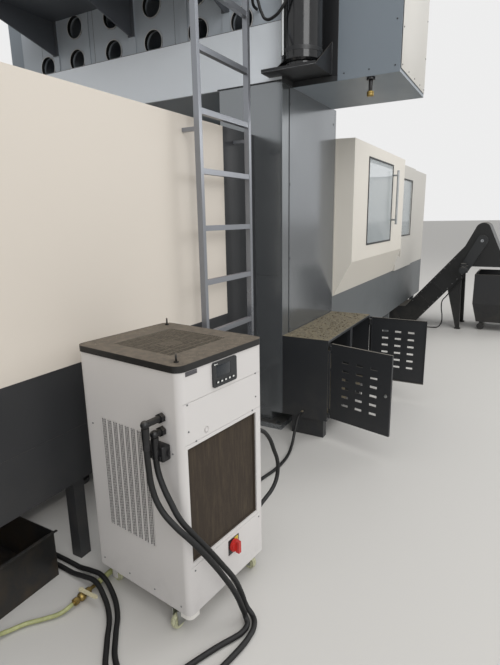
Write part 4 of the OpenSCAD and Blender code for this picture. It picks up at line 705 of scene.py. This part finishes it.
# %% Sides of the chiller
FRONT_SCREWS = [(0.038, 0.952), (0.039, 0.851), (0.444, 0.957), (0.445, 0.855), (0.039, 0.282),
                (0.456, 0.282), (0.076, 0.802), (0.42, 0.802)]
SIDE_SCREWS = [(0.502, 0.775), (0.044, 0.77), (0.345, 0.132), (0.193, 0.13), (0.046, 0.125),
               (0.510, 0.135)]
RIGHT_SIDE_SCREW = (0.2, 0.775)
BACK_SCREWS = [(u, z) for u in (0.04, 0.455) for z in (0.14, 0.52, 0.79, 1.03)]
HOOD_BODY = corners((-0.040, -0.0003), (0.054, 0.140), (0.748, 0.806))
HOOD_LIPS = [corners((-0.046, -0.036), (0.062, 0.132), (0.756, 0.772)),
             corners((-0.044, -0.038), (0.070, 0.124), (0.780, 0.796))]
HOOD_COLLAR = corners((-0.018, -0.010), (0.047, 0.147), (0.768, 0.786))
SLEEVE_R, SLEEVE_L, SLEEVE_LIFT = 0.0130, 0.044, 0.0021
RIB_R, RIB_L, RIB_DROPS = 0.0137, 0.004, (0.008, 0.022, 0.036)
FOOT_INSET, FOOT_BEND, FOOT_REACH, FOOT_SHEET = 0.004, 0.024, 0.052, 0.003
FOOT_LEVELS = ((0.0945, 0.0), (0.077, 0.0), (0.0745, 0.0042))

heads = bmesh.new()
screws(heads, [(u, 0, z) for u, z in FRONT_SCREWS], -AXIS_Y)
screws(heads, [(0, v, z) for v, z in SIDE_SCREWS], -AXIS_X)
screws(heads, [(CHILLER_W, v, z) for v, z in SIDE_SCREWS + [RIGHT_SIDE_SCREW]], AXIS_X)
screws(heads, [(u, CHILLER_D, z) for u, z in BACK_SCREWS], AXIS_Y)
chiller_piece("chiller_screws", heads, "bolt_zinc")

hood = blocks(HOOD_LIPS, bevel=0.0015)
block(hood, *HOOD_BODY, bevel=0.005, segments=3)
block(hood, *HOOD_COLLAR, bevel=0.001)
chiller_piece("socket_hood", hood, "hood_black")

sleeves = bmesh.new()
for x, y, z in (SUPPLY[0], RETURN[0]):
    place, top = (x / 1000, y / 1000), z / 1000 + SLEEVE_LIFT
    upright(sleeves, place, top, top - SLEEVE_L, SLEEVE_R, bevel=0.0012)
    for drop in RIB_DROPS:
        upright(sleeves, place, top - drop, top - drop - RIB_L, RIB_R, bevel=0.0006)
piece("hose_sleeves", sleeves, "hood_black")

foot = bmesh.new()
bend = FOOT_INSET + FOOT_BEND
path = [(FOOT_INSET, FOOT_REACH), (FOOT_INSET, bend)]
path += [(bend - FOOT_BEND * math.cos(a), bend - FOOT_BEND * math.sin(a))
         for a in (math.radians(d) for d in (15, 30, 45, 60, 75))]
path += [(bend, FOOT_INSET), (FOOT_REACH, FOOT_INSET)]
levels = [[foot.verts.new((u + inset, v + inset, z)) for u, v in path] for z, inset in FOOT_LEVELS]
for upper, lower in zip(levels, levels[1:]):
    for k in range(len(path) - 1):
        foot.faces.new((upper[k], upper[k + 1], lower[k + 1], lower[k]))
foot.normal_update()
bmesh.ops.solidify(foot, geom=foot.faces[:], thickness=FOOT_SHEET)
chiller_piece("base_corner_foot", foot, "foot_white")
print("chiller sides dressed")

# %% [markdown]
# Each hole of the beam has a thin pale collar and a black lining, which is
# painted shade on the hole's wall. A seal lies between beam and column, and
# the near end cover has a pale plate. Its screws stand in rows along the edges.

# %% Beam details
HOLES_Y, HOLES_Z = (-0.943, -0.594, -0.196, 0.196, 0.594, 0.943), (2.845, 3.086)
COLLAR_R, COLLAR_T, HOLE_SHADE_R, HOLE_SHADE_L = (0.0799, 0.0846), 0.004, (0.0782, 0.0798), 0.027
BEAM_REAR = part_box("beam_rear_cover")[1].x
column_low, column_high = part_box("column_near")
SEAL_Y, BIG_SCREW = (0.752, 1.2459), (0.005, 0.003)
END_X, END_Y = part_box("beam_end_covers")[0].xy
PLATE_FACE = END_Y - 0.0025
END_PLATE = corners((-0.338, 0.418), (PLATE_FACE, END_Y - 0.0002), (2.452, 3.386))

collars, hole_shade = bmesh.new(), bmesh.new()
for y in HOLES_Y:
    for z in HOLES_Z:
        ring(collars, (BEAM_REAR - 0.0002, y, z), -AXIS_X, *COLLAR_R, COLLAR_T)
        # The black linings paint the shade on each hole's wall.
        ring(hole_shade, (BEAM_REAR - 0.0030, y, z), AXIS_X, *HOLE_SHADE_R, HOLE_SHADE_L)
piece("beam_hole_collars", collars, "rim_light")
piece("beam_hole_painted_shade", hole_shade, "gasket_black")

seal_x = (column_low.x - 0.0032, column_low.x)
seal_z = (column_high.z - 0.0015, column_high.z + 0.0075)
seals = [corners(seal_x, y_range, seal_z) for y_range in (SEAL_Y, (-SEAL_Y[1], -SEAL_Y[0]))]
piece("beam_seat_seal", blocks(seals), "gasket")

piece("end_cover_plate", blocks([END_PLATE], bevel=0.001), "front_guard_white")
heads = bmesh.new()
plate_screws = [(x, z) for z in (2.475, 3.363) for x in (-0.315, -0.13, 0.055, 0.24, 0.395)]
plate_screws += [(x, z) for x in (-0.315, 0.395) for z in (2.68, 2.92, 3.15)]
screws(heads, [(x, PLATE_FACE, z) for x, z in plate_screws], -AXIS_Y, *BIG_SCREW)
side_screws = [(y, z) for z in (2.47, 3.36) for y in (-1.92, -1.76, -1.60, -1.44, -1.28)]
side_screws += [(y, z) for y in (-1.92, -1.28) for z in (2.72, 3.04)]
screws(heads, [(END_X, y, z) for y, z in side_screws], -AXIS_X, *BIG_SCREW)
piece("end_cover_screws", heads, "bolt_dark")
print("beam dressed")

# %% [markdown]
# The lubricant tank has straps, lid bolts and a sight tube around its middle
# line, which is where its cable leaves. The door windows have black gaskets.

# %% Tank and windows
TANK = (TANK_CABLE[0][0] / 1000, TANK_CABLE[0][1] / 1000)
STRAPS_Z, STRAP_R, STRAP_W = (2.560, 2.905), (0.1278, 0.1298), 0.022
LID_BOLTS, LID_BOLT_OFF, LID_BOLT_R, LID_BOLT_Z = (200, 230, 260), 0.085, 0.009, (3.022, 3.044)
TUBE_ANGLE, TUBE_OFF, TUBE_R, TUBE_Z = 148, 0.140, 0.0068, (2.540, 2.918)
GASKET_W, GASKET_T = 0.016, 0.006
DOOR_FACES = {"left": -1.4003, "right": -1.2745}


def beside_tank(degrees, distance):
    angle = math.radians(degrees)
    return TANK[0] + distance * math.cos(angle), TANK[1] + distance * math.sin(angle)


straps = bmesh.new()
for z in STRAPS_Z:
    ring(straps, (*TANK, z), AXIS_Z, *STRAP_R, STRAP_W, 64)
for degrees in LID_BOLTS:
    upright(straps, beside_tank(degrees, LID_BOLT_OFF), *LID_BOLT_Z, LID_BOLT_R, 6, bevel=0.001)
piece("tank_straps", straps, "bracket_paint")
tube = bmesh.new()
upright(tube, beside_tank(TUBE_ANGLE, TUBE_OFF), *TUBE_Z, TUBE_R, 20)
piece("tank_sight_tube", tube, "sight_tube")

for side, face in DOOR_FACES.items():
    low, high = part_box("door_window_" + side)
    depth, tall = (face - GASKET_T, face), (low.z, high.z)
    wide = (low.x - GASKET_W, high.x + GASKET_W)
    strips = [corners(wide, depth, z) for z in ((low.z - GASKET_W, low.z), (high.z, high.z + GASKET_W))]
    strips += [corners(x, depth, tall) for x in ((wide[0], low.x), (high.x, wide[1]))]
    piece(side + "_window_gasket", blocks(strips, bevel=0.0015), "gasket", side + "_door")
print("tank dressed, gaskets on both doors")

# %% [markdown]
# Fine wires lie flush over the recess of the fan. Dark joints show between the
# sheets, and dark plates on the beam's end behind the tank are painted shade.
# Paint is worn to bright steel along the edges that get knocked, and light
# strips on the tank's bracket are painted highlights.

# %% Wires, joints, painted shade, worn edges and painted highlights
WIRES, WIRE_V, WIRE_U, WIRE_Z, WIRE_R = 26, (0.1235, 0.4345), (0.0865, 0.4085), 1.0988, 0.0016
STAYS_U, STAY_V, STAY_Z, STAY_R = (0.095, 0.171, 0.2475, 0.324, 0.400), (0.1185, 0.4395), 1.0962, 0.0018
SEAMS_Y, SEAM_HALF = (-1.0, -0.395, 0.0, 0.395, 1.0), 0.001
JOINTS_AND_SHADE = {
    "edge of the column's cover": corners((-0.4116, -0.4097), (-1.2497, -1.2461), (0.150, 2.435)),
    "cabinet top against the column": corners((-0.4100, 0.4880), (-1.2516, -1.2491), (0.7498, 0.7516)),
    "seat of the beam": corners((-0.5250, -0.3500), (-1.2486, -1.2465), (2.4345, 2.4665)),
    # Painted shade: the beam's end face behind the tank is covered dark, as it lies in shade.
    "painted shade on the beam cover behind the tank": corners((-0.5195, -0.3535), (-1.2480, -1.2462), (2.4660, 2.7900)),
    "painted shade on the beam behind the tank": corners((-0.4995, -0.3535), (-1.2480, -1.2462), (2.7900, 3.3890)),
    "foot of the tank's bracket": corners((-0.3526, -0.3502), (-1.5570, -1.2465), (2.4320, 2.4680)),
}
KNOCKED_EDGES = {
    "front of the cabinet's top": corners((-0.5195, 0.5195), (-1.6009, -1.5994), (0.7484, 0.7504)),
    "top of the beam's cover": corners((-0.5212, -0.5188), (-1.2455, 1.2455), (2.7868, 2.7906)),
}
# Painted highlights: light strips along the lit edges of the tank's bracket.
BRACKET_HIGHLIGHTS = {
    "shelf, rear": corners((-0.6408, -0.6399), (-1.5200, -1.1560), (2.4702, 2.4722)),
    "rib": corners((-0.3600, -0.3560), (-1.5206, -1.5198), (2.4760, 2.6600)),
    "back plate": corners((-0.3558, -0.3498), (-1.5578, -1.5568), (2.4700, 3.0330)),
}

wires = bmesh.new()
for k in range(WIRES):
    v = WIRE_V[0] + k * (WIRE_V[1] - WIRE_V[0]) / (WIRES - 1)
    rod(wires, (WIRE_U[0], v, WIRE_Z), (WIRE_U[1], v, WIRE_Z), WIRE_R, 8)
for u in STAYS_U:
    rod(wires, (u, STAY_V[0], STAY_Z), (u, STAY_V[1], STAY_Z), STAY_R, 8)
chiller_piece("fan_guard_wires", wires, "dusty_wire")

seam_x, seam_z = (BEAM_REAR - 0.0009, BEAM_REAR - 0.0001), (2.792, 3.290)
seams = [corners(seam_x, (y - SEAM_HALF, y + SEAM_HALF), seam_z) for y in SEAMS_Y]
piece("dark_joints_and_painted_shade", blocks([*JOINTS_AND_SHADE.values(), *seams]), "gasket")

edges = blocks(KNOCKED_EDGES.values(), bevel=0.0004)
for low, high in BRACKET_HIGHLIGHTS.values():
    block(edges, low, high, bevel=0.0002)
piece("worn_edges_and_painted_highlights", edges, "worn_edge_and_highlight")
print("wires, joints and worn edges added")

# %% [markdown]
# The cabinet's doors have bright latch caps, each built at its door's hinge
# and turned with the door, and thin strips beside the hinges. Under the near
# end cover of the beam, the oil return has a black tube over its brass stub.

# %% Latches, hinge strips and pipe sleeves
HINGE_X, HINGE_Y = 0.508, -1.612
NEAR_OPEN, FAR_OPEN = math.radians(-105), math.radians(90)
NEAR_HINGE = Matrix.Translation((-HINGE_X, HINGE_Y, 0)) @ Matrix.Rotation(NEAR_OPEN, 4, "Z")
FAR_HINGE = (Matrix.Translation((HINGE_X, HINGE_Y, 0)) @ Matrix.Rotation(FAR_OPEN, 4, "Z")
             @ Matrix.Diagonal((-1, 1, 1, 1)))
LATCH_U, LATCH_Z, LATCH_R, LATCH_V = 0.436, 0.4565, 0.0105, (-0.0128, -0.0150)
LATCH_SLOT = corners((0.4345, 0.4375), (-0.0158, -0.0146), (0.4505, 0.4625))
STRIP_X, STRIP_Y = (0.5187, 0.5202), (-1.6160, -1.5995)
STRIPS_Z = ((0.182, 0.2205), (0.2535, 0.6795), (0.7125, 0.731))
STUB = (-0.320, -1.766)
STUB_TUBE, STUB_FLANGE = (2.3470, 2.4140, 0.0125), (2.4132, 2.4299, 0.0264)
STUB_NUTS = ((2.3192, 2.3478, 0.0204), (2.3225, 2.3300, 0.0225), (2.3365, 2.3440, 0.0225))
DRAIN_Y, DRAIN_Z, DRAIN_SLEEVE_X, DRAIN_SLEEVE_R = -1.205, 0.022, (-2.2155, -2.330), 0.0125

for side, place in (("near", NEAR_HINGE), ("far", FAR_HINGE)):
    cap = blocks([LATCH_SLOT], bevel=0.0003)
    rod(cap, (LATCH_U, LATCH_V[0], LATCH_Z), (LATCH_U, LATCH_V[1], LATCH_Z), LATCH_R, 28, bevel=0.0006)
    bmesh.ops.transform(cap, matrix=place, verts=cap.verts)
    piece(side + "_latch_cap", cap, "castor_zinc", "cabinet_door_" + side)

strips = [corners(x_range, STRIP_Y, z_range) for x_range in (STRIP_X, (-STRIP_X[1], -STRIP_X[0]))
          for z_range in STRIPS_Z]
piece("hinge_strips", blocks(strips, bevel=0.0004), "cabinet_door_paint")

tube = bmesh.new()
for low, high, radius in (STUB_TUBE, STUB_FLANGE):
    upright(tube, STUB, low, high, radius, bevel=0.001)
piece("oil_return_tube", tube, "hood_black")
nuts = bmesh.new()
for low, high, radius in STUB_NUTS:
    upright(nuts, STUB, low, high, radius, bevel=0.0012)
piece("oil_return_nuts", nuts, "valve_brass")
sleeve = bmesh.new()
rod(sleeve, *((x, DRAIN_Y, DRAIN_Z) for x in DRAIN_SLEEVE_X), DRAIN_SLEEVE_R, bevel=0.0015)
piece("drain_sleeve", sleeve, "hose_clear")
print("latches, strips and sleeves added")

# %% [markdown]
# Workshop dirt gathers on what is flat. The cabinet's top is strewn with
# crumbs of swarf and grit, each a small squashed lump at a seeded place.

# %% Swarf and grit
CABINET_LOW, CABINET_HIGH, CABINET_TOP = (-0.505, -1.585), (0.505, -1.262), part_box("cabinet")[1].z
CHILLER_TOP, FINE_GRIT = 1.1002, (0.0008, 0.0025)
TOP_STRIPS = ((90, (0.012, 0.012), (0.483, 0.090)), (70, (0.012, 0.460), (0.483, 0.545)))


def crumbs(bm, count, low, high, top, sizes):
    for _ in range(count):
        size = sizes[0] + (sizes[1] - sizes[0]) * chance.random() ** 2.5
        place = (chance.uniform(low[0], high[0]), chance.uniform(low[1], high[1]), top + size * 0.25)
        turned = Matrix.Rotation(chance.uniform(0, math.pi), 4, "Z")
        squash = Matrix.Diagonal((1.0, chance.uniform(0.4, 1.0), chance.uniform(0.3, 0.7), 1.0))
        bmesh.ops.create_icosphere(bm, subdivisions=1, radius=size,
                                   matrix=Matrix.Translation(place) @ turned @ squash)


for shade, count, sizes in (("dark", 520, (0.002, 0.0105)), ("light", 480, (0.0015, 0.007))):
    grit = bmesh.new()
    crumbs(grit, count, CABINET_LOW, CABINET_HIGH, CABINET_TOP, sizes)
    piece("cabinet_grit_" + shade, grit, "grit_" + shade, smooth=20)
grit = bmesh.new()
for count, low, high in TOP_STRIPS:
    crumbs(grit, count, low, high, CHILLER_TOP, FINE_GRIT)
chiller_piece("chiller_top_grit", grit, "grit_light", smooth=20)
print("grit laid")

# %% [markdown]
# The chip conveyor is bolted together from pressed sheet: a flange runs along
# both edges of its arm, ribs cross it, and bolt heads sit along the flanges.
# A point on the arm is given by how far up the slope it lies and how far
# across. The cart has a flat rim.

# %% Conveyor and cart details
SLOPE, ARM_DEPTH = math.radians(49.8), 0.26
ARM_Y, ARM_Z = -1.389, 0.020
ARM_SIDES_X = ((3.664, 3.6715), (4.2685, 4.276))
FLANGE_ALONG, FLANGE_NEAR, FLANGE_FAR = (0.22, 1.10), 0.004, 0.034
RIBS, RIB_W = (0.36, 0.62, 0.88), 0.03
BOLT_START, BOLT_PITCH, BOLTS, BOLT_IN, BOLT_R = 0.26, 0.09, 10, 0.019, 0.0075
BOLT_HEADS_X = ((3.6645, 3.6585), (4.2755, 4.2815))
RIM_W, RIM_SUNK, RIM_PROUD = 0.020, 0.0005, 0.0045


def on_arm(along, across, x):
    y = ARM_Y - along * math.cos(SLOPE) + across * math.sin(SLOPE)
    z = ARM_Z + along * math.sin(SLOPE) + across * math.cos(SLOPE)
    return (x, y, z)


def arm_bar(bm, along, across, x_range):
    (a, b), (c, d) = along, across
    outline = ((a, c), (b, c), (b, d), (a, d))
    near, far = ([bm.verts.new(on_arm(*point, x)) for point in outline] for x in x_range)
    bm.faces.new(near)
    bm.faces.new(far[::-1])
    for k in range(4):
        n = (k + 1) % 4
        bm.faces.new((near[k], far[k], far[n], near[n]))


bars = bmesh.new()
for x_range in ARM_SIDES_X:
    arm_bar(bars, FLANGE_ALONG, (FLANGE_NEAR, FLANGE_FAR), x_range)
    arm_bar(bars, FLANGE_ALONG, (ARM_DEPTH - FLANGE_FAR, ARM_DEPTH - FLANGE_NEAR), x_range)
    for along in RIBS:
        arm_bar(bars, (along, along + RIB_W), (FLANGE_FAR, ARM_DEPTH - FLANGE_FAR), x_range)
piece("conveyor_flanges", bars, "conveyor_paint", smooth=30)
heads = bmesh.new()
for along in (BOLT_START + BOLT_PITCH * k for k in range(BOLTS)):
    for across in (BOLT_IN, ARM_DEPTH - BOLT_IN):
        for inner, outer in BOLT_HEADS_X:
            rod(heads, on_arm(along, across, inner), on_arm(along, across, outer), BOLT_R, 6)
piece("conveyor_bolts", heads, "bolt_zinc", smooth=30)

low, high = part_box("chip_cart")
rim_z = (high.z - RIM_SUNK, high.z + RIM_PROUD)
rim = [corners((low.x, high.x), y, rim_z) for y in ((low.y, low.y + RIM_W), (high.y - RIM_W, high.y))]
rim += [corners(x, (low.y, high.y), rim_z) for x in ((low.x, low.x + RIM_W), (high.x - RIM_W, high.x))]
piece("cart_rim", blocks(rim, bevel=0.0015), "cart_paint")
print("conveyor and cart dressed")

# %% [markdown]
# The floor is a pale plane that keeps the shadow of the machine. The world
# gives most of the light, evenly from all sides, and large soft lamps add a
# direction to it. What the camera and the gloss see of the world is a pale
# backdrop.

# %% Floor, world and lamps
FLOOR_HALF, FLOOR_COLOUR, FLOOR_ROUGH = 150, "#c9c7c3", 0.6
AMBIENT, BACKDROP = 0.54, 0.85

floor_bm = bmesh.new()
bmesh.ops.create_grid(floor_bm, x_segments=1, y_segments=1, size=FLOOR_HALF)
floor_mesh = bpy.data.meshes.new("floor")
floor_bm.to_mesh(floor_mesh)
floor_bm.free()
floor = bpy.data.objects.new("floor", floor_mesh)
bpy.context.collection.objects.link(floor)
floor_material, floor_tree, floor_shader = fresh_material("pale_floor")
plug(floor_tree, floor_shader, {"Base Color": linear(FLOOR_COLOUR), "Roughness": FLOOR_ROUGH})
floor_mesh.materials.append(floor_material)

scene = bpy.context.scene
scene.view_settings.view_transform = "Standard"
world = bpy.data.worlds.new("hall")
scene.world = world
world.use_nodes = True
sky = world.node_tree
rays = add(sky, "ShaderNodeLightPath").outputs
seen = maths(sky, "MAXIMUM", rays["Is Camera Ray"], rays["Is Glossy Ray"])
seen = maths(sky, "MAXIMUM", seen, rays["Is Transmission Ray"])
strength = spread(sky, seen, (0.0, 1.0), (AMBIENT, BACKDROP))
plug(sky, sky.nodes["Background"], {"Color": (1, 1, 1, 1), "Strength": strength})


def lamp(name, place, aim, size, watts):
    light = bpy.data.lights.new(name, "AREA")
    light.shape = "SQUARE"
    light.size = size
    light.energy = watts
    made = bpy.data.objects.new(name, light)
    made.location = place
    made.rotation_euler = (Vector(aim) - Vector(place)).to_track_quat("-Z", "Y").to_euler()
    bpy.context.collection.objects.link(made)


lamp("window_side", (-8.0, -9.5, 6.5), (-1.5, -1.2, 1.0), size=6, watts=430)
lamp("door_side", (8.0, -9.0, 6.0), (2.0, -1.2, 1.2), size=6, watts=340)
lamp("ceiling", (-1.0, -3.5, 9.5), (-1.0, -1.5, 0.0), size=8, watts=340)
print("lamps placed")
